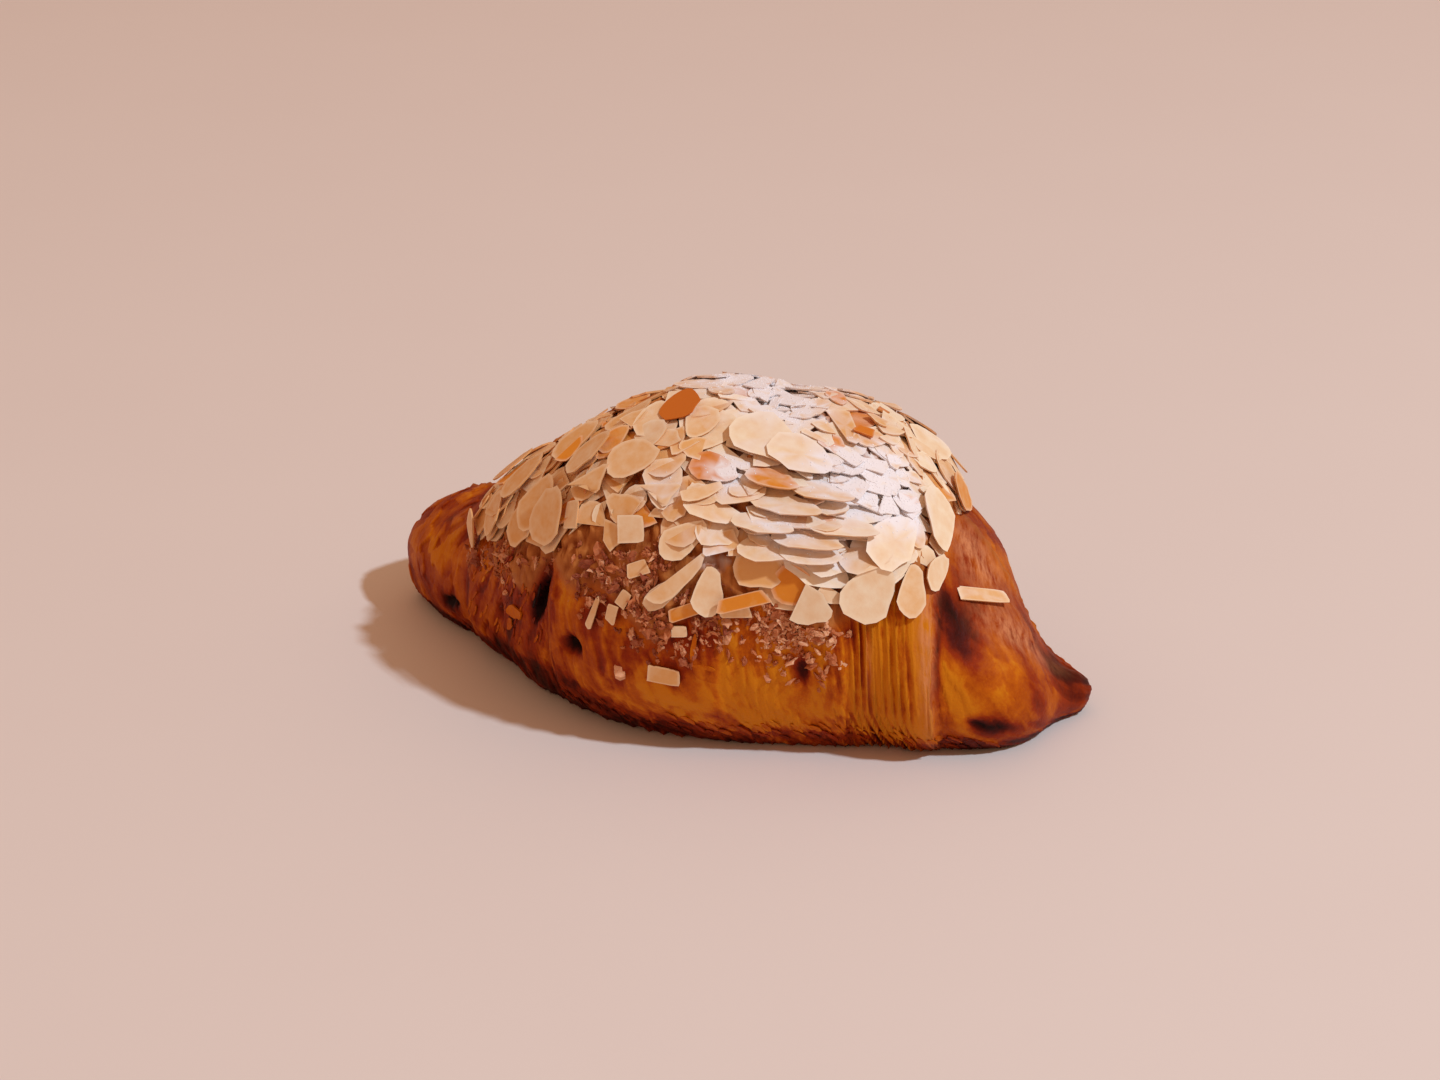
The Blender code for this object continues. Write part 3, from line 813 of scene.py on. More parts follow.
laid_flakes = lay_flakes(flake_cover, seats)
print("flakes laid", len(laid_flakes))

# %% [markdown]
# ## Slices of almond
#
# A flaked almond is a thin slice with one pointed end, sharp rims and a slight bend. Many are broken
# across, split lengthwise or chipped to little plates. A dozen shapes are enough, because each flake
# is turned, stretched and tinted on its own. Each has only a few dozen faces, as it is repeated
# hundreds of times.

# %% Shapes of the slices
SLICE_CORNERS = 16
SLICE_RINGS = ((0.55, 1), (1, 1), (0.96, 0))     # size and level of the rings from the middle outwards
SLICE_CUTS = (
    # straight breaks of each shape: direction in degrees and distance from the middle
    (), (), (), ((30, 0.8),),
    ((180, 0.35),), ((165, 0.15), (200, 0.3)), ((195, 0.0), (60, 0.7)),
    ((85, 0.25),), ((100, 0.1), (182, 0.6)), ((-88, 0.3), (80, 0.45)),
    ((2, 0.72), (179, 0.72), (91, 0.6), (-88, 0.66)), ((10, 0.66), (172, 0.7), (97, 0.55), (-84, 0.7)),
    ((60, 0.2), (180, 0.5)), ((-70, 0.1), (40, 0.6)), ((120, 0.3), (-120, 0.35), (10, 0.6)),
)


def mesh_from(bm, name):
    mesh = bpy.data.meshes.new(name)
    bm.to_mesh(mesh)
    bm.free()
    return mesh


def shape_set(name, meshes):
    """A collection of shapes that a tree picks from."""
    shapes = bpy.data.collections.new(name)
    for mesh in meshes:
        shapes.objects.link(bpy.data.objects.new(mesh.name, mesh))
    print(name, "with", len(meshes), "shapes of", len(meshes[0].polygons), "faces")
    return shapes


def build_slice(name, cuts, seed):
    """One slice: its outline runs from -1 to 1 both ways, and its thickness is in millimetres."""
    draw = np.random.default_rng(seed)
    bend, twist = draw.uniform(-0.06, 0.14), draw.uniform(-0.1, 0.1)
    wave = draw.normal(0, 0.05, SLICE_CORNERS)
    bm = bmesh.new()

    def point(x, y, level):
        return bm.verts.new((x, y, SLICE_THICK * level + bend * (y * y - 0.3) + twist * x * y))

    def corner(number, share, level):
        angle = 2 * math.pi * number / SLICE_CORNERS
        x = math.cos(angle) * (1 + wave[number])
        y = math.sin(angle) * (1 - 0.25 * math.cos(angle)) * (1 + wave[number])
        for degrees, reach in cuts:
            way = (math.cos(math.radians(degrees)), math.sin(math.radians(degrees)))
            over = x * way[0] + y * way[1] - reach
            if over > 0:
                x, y = x - way[0] * over, y - way[1] * over
        return point(x * share, y * share, level)

    rings = [[corner(i, *ring) for i in range(SLICE_CORNERS)] for ring in SLICE_RINGS]
    heart = point(*(float(np.mean([v.co[way] for v in rings[0]])) for way in (0, 1)), 1)
    for i in range(SLICE_CORNERS):
        bm.faces.new((heart, rings[0][i], rings[0][(i + 1) % SLICE_CORNERS])).smooth = True
    bm.faces.new(list(reversed(rings[2])))
    for inner, outer in zip(rings, rings[1:]):
        for i in range(SLICE_CORNERS):
            j = (i + 1) % SLICE_CORNERS
            bm.faces.new((inner[i], outer[i], outer[j], inner[j])).smooth = inner is rings[0]
    bmesh.ops.recalc_face_normals(bm, faces=bm.faces[:])
    for edge in bm.edges:
        edge.smooth = all(face.smooth for face in edge.link_faces)
    sides = [not face.smooth for face in bm.faces]
    mesh = mesh_from(bm, name)
    keep_value(mesh, "side", sides, domain="FACE")
    keep_value(mesh, "rim", [share for share, _ in SLICE_RINGS for _ in range(SLICE_CORNERS)] + [0])
    return mesh


slice_meshes = [build_slice(f"slice_{i:02d}", cuts, 50 + i) for i, cuts in enumerate(SLICE_CUTS)]
slice_shapes = shape_set("slice_shapes", slice_meshes)

# %% [markdown]
# ## Laying the slices with Geometry Nodes
#
# The seats become a cloud of points that carry turn, size, shape number and toasting. A tree puts the
# picked shape on each point and makes the instances real, which also hands each slice its own values.

# %% A tree that puts shapes on points
def cloud(name, places, **values):
    """A mesh of loose points, in metres, with one stored value for each."""
    mesh = bpy.data.meshes.new(name)
    mesh.from_pydata([tuple(p) for p in places], [], [])
    for key, numbers in values.items():
        numbers = np.asarray(numbers, dtype=np.float32)
        keep_value(mesh, key, numbers, "FLOAT_VECTOR" if numbers.ndim == 2 else "FLOAT")
    return new_piece(name, mesh)


def scatter_tree(name, shapes, material):
    tree, given = new_tree(name, {})
    add = partial(node, tree)
    turn, stretch = (add(STORED, {"Name": key}, data_type="FLOAT_VECTOR") for key in ("turn", "stretch"))
    shape = add(STORED, {"Name": "shape"}, data_type="FLOAT")
    pick = {"Collection": shapes, "Separate Children": True, "Reset Children": True}
    laying = {
        "Points": given[0],
        "Instance": add("GeometryNodeCollectionInfo", pick),
        "Pick Instance": True,
        "Instance Index": add("FunctionNodeFloatToInt", (shape,)),
        "Rotation": add("FunctionNodeEulerToRotation", (turn,)),
        "Scale": stretch,
    }
    return finish_tree(tree, add("GeometryNodeInstanceOnPoints", laying), material)


def scatter(name, points, shapes, material):
    """Puts the shapes on a cloud of points and returns them as one finished piece."""
    mesh = run_tree(points, scatter_tree(name + "_tree", shapes, material), {}, name)
    bpy.data.objects.remove(points)
    return new_piece(name, mesh)


def euler_of(axes):
    return tuple(Matrix(np.array(axes).T.tolist()).to_euler())


almond_paint = new_paint("flaked_almond")
flake_cloud = cloud(
    "flake_cloud",
    [origin * MM for origin, *_ in laid_flakes],
    turn=[euler_of(axes) for _, axes, *_ in laid_flakes],
    stretch=[(long * MM, slim * MM, MM) for _, _, long, slim, _, _ in laid_flakes],
    shape=[flake[4] for flake in laid_flakes],
    toast=[flake[5] for flake in laid_flakes],
    facing=[axes[2][2] for _, axes, *_ in laid_flakes],
)
flakes = scatter("almond_flakes", flake_cloud, slice_shapes, almond_paint)

# %% [markdown]
# ## Leaves of dough
#
# The outermost leaves of the dough crack and peel where the wraps bend and along the hem, where they
# stand over the tray as small points. Each is a thin strip that narrows to both ends and curls up at
# one of them.

# %% Shapes of the leaves
LEAF_STEPS, LEAF_KINDS = 5, 5
LEAF_SECTION = ((-1, 0), (1, 0), (1, 0.3), (-1, 0.3))     # corners across: side and level


def build_leaf(name, seed):
    """A strip from -1 to 1, narrowing to both ends, curled up at its far end."""
    draw = np.random.default_rng(seed)
    bm = bmesh.new()
    rows = []
    for step in range(LEAF_STEPS + 1):
        x = 2 * step / LEAF_STEPS - 1
        half = (1 - 0.75 * abs(x) ** 3) * (1 + draw.normal(0, 0.12))
        rise = draw.normal(0, 0.05) + 0.35 * max(x, 0) ** 2
        aside = draw.normal(0, 0.1)
        rows.append([bm.verts.new((x, aside + y * half, rise + z)) for y, z in LEAF_SECTION])
    for near, far in zip(rows, rows[1:]):
        for i in range(4):
            j = (i + 1) % 4
            bm.faces.new((near[i], far[i], far[j], near[j]))
    bm.faces.new(list(reversed(rows[0])))
    bm.faces.new(rows[-1])
    bmesh.ops.recalc_face_normals(bm, faces=bm.faces[:])
    return mesh_from(bm, name)


leaf_shapes = shape_set("leaf_shapes", [build_leaf(f"leaf_{i}", 30 + i) for i in range(LEAF_KINDS)])

# %% [markdown]
# ## Where the leaves peel
#
# Four zones of the dough get leaves by a seeded draw, along the layers and lifted at one end, and a
# few leaves that stand out have places of their own. Each takes the browning and the painted shade of
# the dough below it.

# %% Places of the leaves
LEAF_COUNT = 260
LEAF_ZONES = (
    # wrap place from and to, angle from and to, share, lean in degrees, browner by, half breadth
    (-0.57, -0.24, 60, 108, 0.9, -25, -0.15, 0.35),
    (-0.2, 0.85, 119, 128, 1.3, 42, 0.05, 0.7),
    (0.93, 1.0, 40, 115, 0.4, 55, 0.0, 0.5),
    (-0.6, 0.7, -130, -90, 0.5, 0, 0.0, 0.5),
)
LEAVES_SEEN = (
    # wrap place, angle, length and breadth in mm, lean in degrees, browning
    (-0.33, 94, 6.5, 3.0, -70, 0.3),
    (-0.36, 100, 4.0, 2.0, -20, 0.4),
    (0.1, 98, 5.0, 1.0, 80, 0.35),
    (0.085, 92, 6.0, 1.0, -10, 0.3),
    (0.985, 70, 6.5, 2.6, 80, 0.8),
    (0.985, 95, 7.0, 2.2, 75, 0.5),
    (0.975, 110, 6.0, 1.8, 60, 0.6),
    (0.96, 118, 5.0, 1.6, 50, 0.4),
    (0.94, 120, 5.0, 1.6, 45, 0.3),
    (0.965, 50, 5.0, 2.4, 100, 0.9),
)


def frame_at(w, theta, extra, lean_degrees):
    """Place on the surface with axes down the flank (leaning), across it and out of it."""
    side, d = np.sign(theta), 1e-3
    down = unit(surface(w, theta + d * side, extra) - surface(w, theta - d * side, extra))
    right = surface(w + d, theta, extra) - surface(w - d, theta, extra)
    out = unit(np.cross(down, right) * side)
    a = math.radians(lean_degrees)
    first = math.cos(a) * down + math.sin(a) * np.cross(out, down)
    return surface(w, theta, extra), (first, np.cross(out, first), out)


def leaf_places():
    """Place, turn, size and browning with painted shade of each leaf, with none under the flakes or on the
    tray.
    """
    draw = np.random.default_rng(29)
    shares = np.array([zone[4] for zone in LEAF_ZONES])
    wanted = [(w, angle, long / 2, slim / 2, *looks) for w, angle, long, slim, *looks in LEAVES_SEEN]
    for _ in range(LEAF_COUNT):
        zone = LEAF_ZONES[draw.choice(len(LEAF_ZONES), p=shares / shares.sum())]
        w0, w1, t0, t1, _, lean_degrees, browner, widest = zone
        w, angle = draw.uniform(w0, w1), draw.uniform(t0, t1)
        long, slim = draw.uniform(0.8, 2.0), draw.uniform(0.2, widest)
        nearest = np.argmin((dough_w - w) ** 2 + (dough_theta - math.radians(angle)) ** 2)
        tone = max(brown[nearest] + browner, 0.1) + draw.normal(0.05, 0.12)
        wanted.append((w, angle, long, slim, lean_degrees + draw.normal(0, 10), tone))
    found = []
    for w, angle, long, slim, lean_degrees, tone in wanted:
        place, axes = frame_at(w, math.radians(angle), draw.uniform(-0.1, 0.1), lean_degrees)
        if place[2] > 0.6 and flake_cover.pile(place, 2.0) < 0.3:
            found.append((place * MM, euler_of(axes), (long * MM, slim * MM, 0.4 * long * MM), tone))
    return found


places, turns, sizes, tones = zip(*leaf_places())
kinds = np.arange(len(places)) % LEAF_KINDS
leaf_cloud = cloud("leaf_cloud", places, turn=turns, stretch=sizes, shape=kinds, brown=tones)
leaves = scatter("dough_leaves", leaf_cloud, leaf_shapes, dough_paint)

# %% [markdown]
# ## Powdered sugar as a load on the surface
#
# Sugar falls straight down, so it stays on what faces up, and it gathers in a few thick patches. Each
# point of the dough and of the almonds gets its load once. The materials use it to whiten the
# surface, and the grains further down use it to know where to lie.

# %% Sugar load
SUGAR_PATCHES = (
    # wrap place, angle, radius in mm, strength
    (0.52, 29, 10.0, 0.9),
    (0.42, 36, 8.0, 0.8),
    (0.6, 38, 7.0, 0.6),
    (0.3, 56, 7.0, 0.7),
    (0.4, 58, 5.0, 0.6),
    (0.16, 36, 4.5, 0.9),
    (0.02, 44, 5.0, 0.5),
    (0.13, 66, 4.0, 0.9),
    (0.28, 6, 9.0, 0.8),
    (0.11, -9, 12.0, 0.8),
    (0.3, -30, 15.0, 0.6),
)


def kept_value(mesh, name):
    return values_of(mesh.attributes[name].data, "value", 1)


def store_sugar(mesh, upward):
    """Stores how much sugar lies on each point, given how much the point faces up."""
    places = values_of(mesh.vertices, "co") / MM
    load = 0.1 + 0.2 * smooth_step(-40, 30, places[:, 0]) + 0.14 * ripple(places, 14, 21)
    for w, angle, radius, strength in SUGAR_PATCHES:
        gap = np.linalg.norm(places - surface(w, math.radians(angle)), axis=1) / radius
        load = load + strength * np.exp(-(gap**2.5))
    load *= 0.8 + 0.4 * ripple(places, 2.4, 22)
    load = np.clip(load, 0, 1.2) * smooth_step(-0.1, 0.75, upward)
    keep_value(mesh, "sugar", load)
    print(mesh.name, "has a mean sugar load of", round(float(load.mean()), 2))


dough_upward = values_of(layered_mesh.vertices, "normal")[:, 2]
store_sugar(layered_mesh, dough_upward * kept_value(layered_mesh, "crumb"))
dusting = smooth_step(1.4, 1.1, kept_value(flakes.data, "toast"))     # a toasted slice sheds its sugar
store_sugar(flakes.data, kept_value(flakes.data, "facing") * dusting)

# %% [markdown]
# ## Crumbs of the almond crust
#
# The cream bakes to a crumbly crust that breaks into small lumps, most of them along its lower edge.
# Lumps are scattered over the crust by a seeded draw. Each is set on the nearest point of the finished
# dough and sunk a little into it, so that none floats.

# %% Crumb shapes and their places
CRUMB_COUNT, CRUMB_KINDS, CRUMB_ROUGH = 1200, 6, 0.5
CRUMB_HEAPS = (
    # wrap place, angle, half size along and round in mm, share
    (-0.005, 73, 5.5, 8.0, 0.9),
    (0.06, 84, 5.0, 6.0, 0.7),
    (0.3, 86, 5.0, 6.0, 1.0),
    (0.14, 80, 6.0, 4.0, 0.4),
    (-0.22, 70, 6.0, 6.0, 0.1),
    (-0.42, 68, 7.0, 7.0, 0.2),
    (-0.56, 66, 4.0, 7.0, 0.15),
    (0.0, -84, 45.0, 8.0, 0.3),
)


def build_crumb(name, seed):
    draw = np.random.default_rng(seed)
    bm = bmesh.new()
    bmesh.ops.create_icosphere(bm, subdivisions=2, radius=1.0)
    points = np.array([v.co[:] for v in bm.verts])
    bulge = 1 + CRUMB_ROUGH * ripple(points * 10, 9, seed)
    stretch = draw.uniform((0.8, 0.6, 0.35), (1.5, 1.1, 0.7))
    for vert, place in zip(bm.verts, points * bulge[:, None] * stretch):
        vert.co = place
    return mesh_from(bm, name)


def crumb_places(dough_skin):
    draw = np.random.default_rng(17)
    places, sizes, tones = [], [], []
    while len(places) < CRUMB_COUNT:
        w, theta = draw.uniform(-0.68, 0.75), math.radians(draw.uniform(-100, 104))
        if draw.random() < spots_of(CRUMB_HEAPS, w, theta):
            size = draw.uniform(0.4, 0.95) * (1 + 0.9 * draw.random() ** 4)
            place = surface(w, theta)
            if flake_cover.pile(place, 1.2) > 0.4 or pit_depth(w, theta) > 0.1:
                continue
            foot, up = dough_skin.find_nearest(Vector(place * MM))[:2]
            places.append(foot + up * draw.uniform(-0.45, 0.25) * MM)
            sizes.append((size * MM,) * 3)
            tones.append(draw.random() ** 1.5 + 0.3 * (w > 0.2))
    return places, sizes, tones


crumb_shapes = shape_set("crumb_shapes", [build_crumb(f"crumb_{i}", 80 + i) for i in range(CRUMB_KINDS)])
corners, faces = [v.co for v in layered_mesh.vertices], [p.vertices for p in layered_mesh.polygons]
places, sizes, tones = crumb_places(BVHTree.FromPolygons(corners, faces))
draw = np.random.default_rng(18)
turns = draw.uniform(0, 2 * math.pi, (CRUMB_COUNT, 3))
kinds = draw.integers(0, CRUMB_KINDS, CRUMB_COUNT)
crumb_cloud = cloud("crumb_cloud", places, turn=turns, stretch=sizes, shape=kinds, toast=tones)
crust_paint = new_paint("baked_almond_cream")
crumbs = scatter("crust_crumbs", crumb_cloud, crumb_shapes, crust_paint)

# %% [markdown]
# ## Grains of sugar
#
# Powdered sugar clings in tiny clumps. A tree spreads points over the almonds and the dough, denser
# where the load is high, and puts a small faceted grain on each. The real grains are far finer, so
# these are drawn as coarse as the clumps they form.

# %% Sugar grains
GRAIN_SIZES = {"Grains per square metre": 3500000.0, "Grain radius mm": 0.17, "Seed": 4}
LEAST_LOAD, LOAD_POWER = 0.42, 1.6     # below the least load the sugar is too thin for clumps


def grain_tree(hosts, grain, material):
    tree, given = new_tree("dust_with_sugar", GRAIN_SIZES)
    add = partial(node, tree)
    ground = add("GeometryNodeJoinGeometry", out=None)
    for host in hosts:
        tree.links.new(add("GeometryNodeObjectInfo", {"Object": host}, out="Geometry"), ground.inputs[0])
    load = add(STORED, {"Name": "sugar"}, data_type="FLOAT")
    thick = add(MATH, (load, LEAST_LOAD), operation="SUBTRACT", use_clamp=True)
    thick = add(MATH, (thick, LOAD_POWER), operation="POWER")
    density = add(MATH, (thick, given["Grains per square metre"]), operation="MULTIPLY")
    sowing = {"Mesh": ground.outputs[0], "Density": density, "Seed": given["Seed"]}
    spread = add("GeometryNodeDistributePointsOnFaces", sowing, out=None).outputs
    sizes = {"Min": (0.4, 0.4, 0.3), "Max": (1.5, 1.5, 1.0), "Seed": 2}
    chance = add("FunctionNodeRandomValue", sizes, data_type="FLOAT_VECTOR")
    radius = add(MATH, (given["Grain radius mm"], MM), operation="MULTIPLY")
    laying = {
        "Points": spread["Points"],
        "Instance": add("GeometryNodeObjectInfo", {"Object": grain}, out="Geometry"),
        "Rotation": spread["Rotation"],
        "Scale": add(VECTOR_MATH, {0: chance, 3: radius}, operation="SCALE"),
    }
    return finish_tree(tree, add("GeometryNodeInstanceOnPoints", laying), material)


bm = bmesh.new()
bmesh.ops.create_icosphere(bm, subdivisions=1, radius=1.0)
grain = new_piece("sugar_grain", mesh_from(bm, "sugar_grain"))
sugar_paint = new_paint("powdered_sugar")
holder = new_piece("sugar_holder", bpy.data.meshes.new("sugar_holder"))
sugar_mesh = run_tree(holder, grain_tree((dough, flakes), grain, sugar_paint), GRAIN_SIZES, "powdered_sugar")
for helper in (holder, grain):
    bpy.data.objects.remove(helper)
sugar = new_piece("powdered_sugar", sugar_mesh)

# %% [markdown]
# ## Coats and speckles
#
# All the finishes are coats laid over each other, each where some value rises: the heat of the oven,
# the depth of a hollow, the load of sugar. The values are read from the mesh or from soft speckles
# whose size is given in millimetres of the real object.

# %% Coats, speckles and the shader
def coat(tree, below, above, value, low=0.0, high=1.0, most=1.0):
    """Lays one colour over another as far as a value has risen from low to high."""
    share = node(tree, "ShaderNodeMapRange", {0: value, 1: low, 2: high, 4: most})
    return node(tree, "ShaderNodeMix", {0: share, 6: below, 7: above}, out=2, data_type="RGBA")


def speckle(tree, size_mm, detail=3.0, rough=0.55):
    """Soft random patches of a real size, fixed to the piece."""
    place = node(tree, "ShaderNodeTexCoord", out="Object")
    wanted = {"Vector": place, "Scale": 1 / (size_mm * MM), "Detail": detail, "Roughness": rough}
    return node(tree, "ShaderNodeTexNoise", wanted, out="Fac")


def dress(paint, shade, relief, looks):
    """Gives the shader its colour, its fine relief and its uniform values."""
    tree = paint.node_tree
    skin = tree.nodes["Principled BSDF"]
    tree.links.new(shade, skin.inputs["Base Color"])
    if relief:
        tree.links.new(relief, skin.inputs["Normal"])
    for label, value in looks.items():
        skin.inputs[label].default_value = value
    print(paint.name, "has", len(tree.nodes), "nodes")


# %% [markdown]
# ## Baked dough
#
# Egg-washed dough bakes to a thin skin with a dull shine. Its colour runs from gold through red brown
# to nearly black with the heat, and the same scale carries the painted shade of the splits, holes
# and hem. The hollows between the ridges of the layers are painted darker than the ridges, as painted
# shade, each torn leaf has its own tone, and a pale painted sheen, a painted highlight, lightens a few
# places. Where almond cream covers the dough, its crags are painted pale on top and brown in the
# hollows, as painted light and shade.

# %% Material of the dough
OVEN_AND_SHADE_COLOURS = (
    # heat from and to, colour that is reached
    (0.0, 0.25, "#BD5F08"),
    (0.22, 0.62, "#902E04"),
    (0.62, 1.05, "#521003"),
    # the nearly black stage is reached in the painted shade of the splits, holes and hem, and in the darkest
    # browned places
    (1.05, 1.5, "#1E0502"),
)
DOUGH_MARKS = ("brown", "layered", "torn", "ridge", "haze", "crag", "crumb", "sugar")


def paint_dough():
    tree = dough_paint.node_tree
    add = partial(node, tree)
    marks = (add("ShaderNodeAttribute", attribute_name=name, out="Fac") for name in DOUGH_MARKS)
    heat, layers, leaves, ridge, haze, crag, crust, dust = marks
    leaf = add("ShaderNodeAttribute", attribute_name="leaf_mm", out="Vector")
    thin = add(VECTOR_MATH, (leaf, (1.1, 0.2, 1.0)), operation="MULTIPLY")
    threads = {"Vector": thin, "Scale": 1.0, "Detail": 4.0, "Roughness": 0.65}
    fibre = add("ShaderNodeTexNoise", threads, out="Fac")
    streak = add(MATH, (add(MATH, (fibre, 0.5), operation="SUBTRACT"), layers), operation="MULTIPLY")
    wide = (1 / LAYER_SIZES["Leaf width mm"], 1 / LAYER_SIZES["Leaf length mm"], 0.0)
    cell = add(VECTOR_MATH, (leaf, wide), operation="MULTIPLY")
    cell = add("ShaderNodeTexVoronoi", {"Vector": cell, "Scale": 1.0}, out="Color")
    torn = add(MATH, (add("ShaderNodeSeparateXYZ", (cell,), out=1), leaves), operation="MULTIPLY")
    # the ridge height lowers the heat, so the hollows are painted darker: painted shade
    for value, share in ((speckle(tree, 3.2, 6.0, 0.72), 0.8), (streak, 0.7), (torn, 0.16), (ridge, -0.8)):
        heat = add(MATH, (value, share, heat), operation="MULTIPLY_ADD")
    heat = add(MATH, (heat, 0.5), operation="SUBTRACT")
    shade = paint_of("#CD7A10")
    for low, high, colour in OVEN_AND_SHADE_COLOURS:
        shade = coat(tree, shade, paint_of(colour), heat, low, high)
    # painted highlight: the pale sheen laid over the dough
    sheen_mask = add(MATH, (haze, add("ShaderNodeMapRange", (fibre, 0.35, 0.6))), operation="MULTIPLY")
    shade = coat(tree, shade, paint_of("#D48A5C"), sheen_mask)
    # painted light and shade: crag tops painted pale, crag hollows painted brown
    cream = coat(tree, paint_of("#8A4019"), paint_of("#D08848"), crag, -0.8, 0.8)
    shade = coat(tree, shade, cream, crust, 0.25, 0.7)
    shade = coat(tree, shade, paint_of("#EFE6E2"), dust, 0.3, 1.0)
    leafy = add(MATH, (layers, 0.7, 0.3), operation="MULTIPLY_ADD")
    fibrous = add(MATH, (fibre, leafy), operation="MULTIPLY")
    fine = add("ShaderNodeBump", {"Height": fibrous, "Strength": 0.6, "Distance": 0.4 * MM})
    pores = {"Height": speckle(tree, 0.9, 4.0, 0.7), "Strength": 0.5, "Distance": 0.3 * MM, "Normal": fine}
    dress(dough_paint, shade, add("ShaderNodeBump", pores), {"Roughness": 0.5, "Specular IOR Level": 0.08})


paint_dough()

# %% [markdown]
# ## Flaked almond
#
# A slice of almond is ivory. Its rim is painted paler, a painted highlight, and its cut side darker
# orange, partly toasting and partly painted warm shade in the gaps between slices. The oven turns it
# golden in patches, and a few slices are toasted all over. The nut is a little oily, which gives a
# soft sheen.

# %% Material of the almonds
def paint_almond():
    tree = almond_paint.node_tree
    add = partial(node, tree)
    marks = ("toast", "rim", "side", "sugar")
    toast, rim, side, dust = (add("ShaderNodeAttribute", attribute_name=name, out="Fac") for name in marks)
    heat = add(MATH, (speckle(tree, 3.0), 0.6, toast), operation="MULTIPLY_ADD")
    shade = paint_of("#F3DFC0")
    for colour, value, low, high, most in (
        ("#E3AB6B", heat, 0.3, 0.85, 1.0),
        ("#DE8A2A", heat, 0.95, 1.25, 1.0),
        # painted highlight: a paler rim
        ("#FFF3DA", rim, 0.8, 1.0, 0.4),
        # the cut side: partly toasting, partly painted warm shade in the gaps between slices
        ("#DC9A50", side, 0.0, 1.0, 0.75),
        ("#D27220", heat, 1.3, 1.7, 1.0),
        ("#F2ECEC", dust, 0.2, 0.85, 1.0),
    ):
        shade = coat(tree, shade, paint_of(colour), value, low, high, most)
    grain = {"Height": speckle(tree, 0.8), "Strength": 0.25, "Distance": 0.15 * MM}
    dress(almond_paint, shade, add("ShaderNodeBump", grain), {"Roughness": 0.5, "Specular IOR Level": 0.2})


paint_almond()

# %% [markdown]
# ## Crumbs and sugar
#
# The crumbs of the crust are rough, dry and reddish brown, and a little light passes through their
# thin edges. Sugar is a bright, matt powder, which lies as grains and also whitens what is below it.

# %% Materials of the crumbs and the sugar
def paint_crust():
    tree = crust_paint.node_tree
    mottle = speckle(tree, 1.6)
    toast = node(tree, "ShaderNodeAttribute", attribute_name="toast", out="Fac")
    heat = node(tree, MATH, (mottle, 0.6, toast), operation="MULTIPLY_ADD")
    shade = coat(tree, paint_of("#8A3C1C"), paint_of("#BC6C3C"), heat, 0.3, 0.8)
    shade = coat(tree, shade, paint_of("#E4AC84"), heat, 0.85, 1.35)
    bump = node(tree, "ShaderNodeBump", {"Height": mottle, "Strength": 0.5, "Distance": 0.3 * MM})
    looks = {
        "Roughness": 0.75,
        "Subsurface Weight": 0.15,
        "Subsurface Radius": (1.0, 0.5, 0.25),
        "Subsurface Scale": 1.0 * MM,
    }
    dress(crust_paint, shade, bump, looks)


def paint_sugar():
    tree = sugar_paint.node_tree
    shade = coat(tree, paint_of("#E9E3E8"), paint_of("#FAF7F7"), speckle(tree, 1.5))
    looks = {
        "Roughness": 0.85,
        "Subsurface Weight": 0.2,
        "Subsurface Radius": (0.5, 0.5, 0.5),
        "Subsurface Scale": 0.5 * MM,
    }
    dress(sugar_paint, shade, None, looks)


paint_crust()
paint_sugar()

# %% [markdown]
# ## Handing the pieces over
#
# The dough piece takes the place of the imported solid. All pieces ride on the one body.

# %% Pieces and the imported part
pieces = (dough, leaves, flakes, crumbs, sugar)
for piece in pieces:
    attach(piece, "root")
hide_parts("croissant")
print("pieces on the body", len(pieces))

# %% [markdown]
# ## Table
#
# A plain, pale, matt board. It is wide enough to fill the picture and has hardly any pattern, so that
# only the shadow draws on it.

# %% Table
TABLE_SIZE = 12.0


def build_table():
    bm = bmesh.new()
    bmesh.ops.create_grid(bm, x_segments=1, y_segments=1, size=TABLE_SIZE / 2)
    table = new_piece("table", mesh_from(bm, "table"))
    board = new_paint("matt_pale_board")
    tree = board.node_tree
    shade = coat(tree, paint_of("#E1D6D0"), paint_of("#E3D9D3"), speckle(tree, 90.0, 2.0))
    dress(board, shade, None, {"Roughness": 0.8})
    table.data.materials.append(board)
    return table


build_table()

# %% [markdown]
# ## Light
#
# One small soft lamp stands high on the camera's right, and an even warm fill comes from all round.
# The outline of the cast shadow gives away the lamp's direction, and its soft edge the lamp's size.

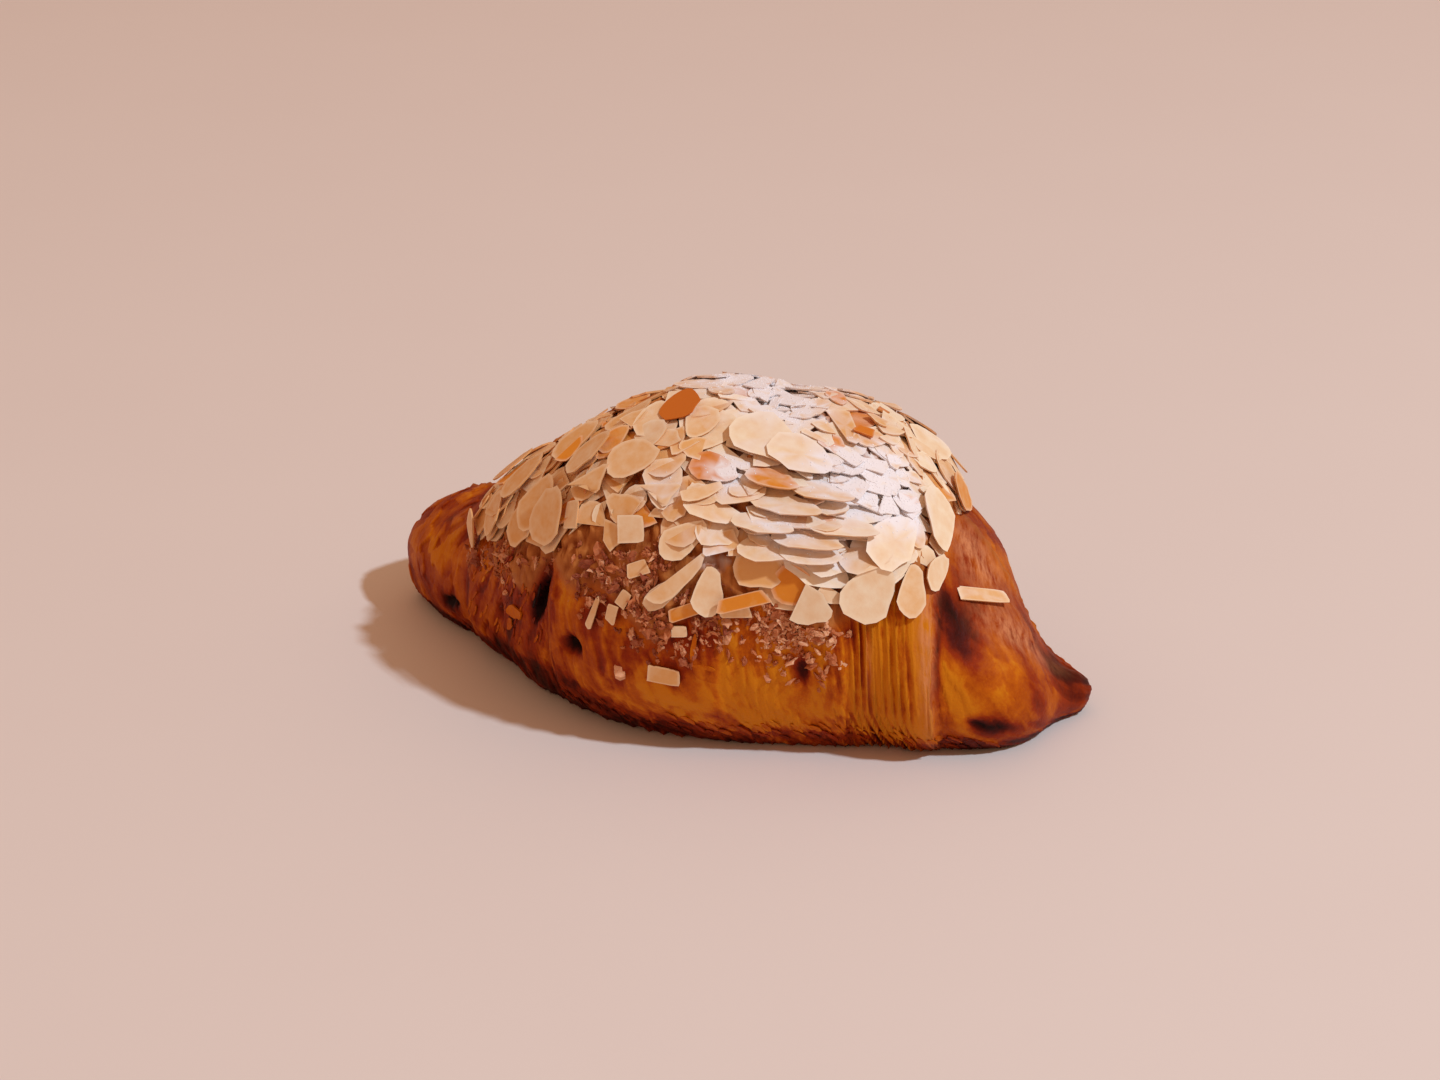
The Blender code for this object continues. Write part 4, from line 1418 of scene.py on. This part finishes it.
# %% Lamp and fill
AIM = Vector((*MOVED[:2], 30.0)) * MM                # the spine's middle, 30 mm above the table
LAMP_ROUND, LAMP_UP, LAMP_DISTANCE = 78, 49, 2.6     # degrees and metres
LAMP_SIZE, LAMP_POWER = 0.16, 46                     # metres and watts


def direction(round_degrees, up_degrees):
    a, e = math.radians(round_degrees), math.radians(up_degrees)
    return Vector((math.sin(a) * math.cos(e), -math.cos(a) * math.cos(e), math.sin(e)))


def place_at(name, data, location, facing):
    """Adds a lamp or a camera that looks along a turn."""
    thing = bpy.data.objects.new(name, data)
    thing.location = location
    thing.rotation_euler = facing.to_euler()
    bpy.context.scene.collection.objects.link(thing)
    return thing


lamp = bpy.data.lights.new("window", "AREA")
lamp.shape, lamp.size, lamp.energy = "DISK", LAMP_SIZE, LAMP_POWER
lamp.color = paint_of("#DCEFFF")[:3]
way = direction(LAMP_ROUND, LAMP_UP)
place_at("window", lamp, AIM + way * LAMP_DISTANCE, way.to_track_quat("Z", "Y"))
world = bpy.data.worlds.new("room")
bpy.context.scene.world = world
world.use_nodes = True
fill = world.node_tree.nodes["Background"].inputs
fill["Color"].default_value, fill["Strength"].default_value = paint_of("#FFC7A0"), 0.557
bpy.context.scene.view_settings.view_transform = "Standard"
print("lamp from", [round(c, 2) for c in way])

# %% [markdown]
# ## Camera
#
# The camera looks down a little on the bulging side. Its lens is long, so that the form isn't drawn
# out, and the croissant sits a little below the middle of the picture.

# %% Camera
VIEW_ROUND, VIEW_UP, VIEW_DISTANCE, LENS = 21.0, 24.0, 0.70, 78.4
AIM_SHIFT = (3.73 * MM, 4.6 * MM)      # right and up in the picture

camera_data = bpy.data.cameras.new("camera")
camera_data.lens, camera_data.sensor_width = LENS, 36
camera_data.clip_start, camera_data.clip_end = 0.05, 50
back = direction(VIEW_ROUND, VIEW_UP)
turned = back.to_track_quat("Z", "Y")
stand = AIM + back * VIEW_DISTANCE + turned @ Vector((*AIM_SHIFT, 0))
bpy.context.scene.camera = place_at("camera", camera_data, stand, turned)
print("camera at", [round(c, 3) for c in stand])
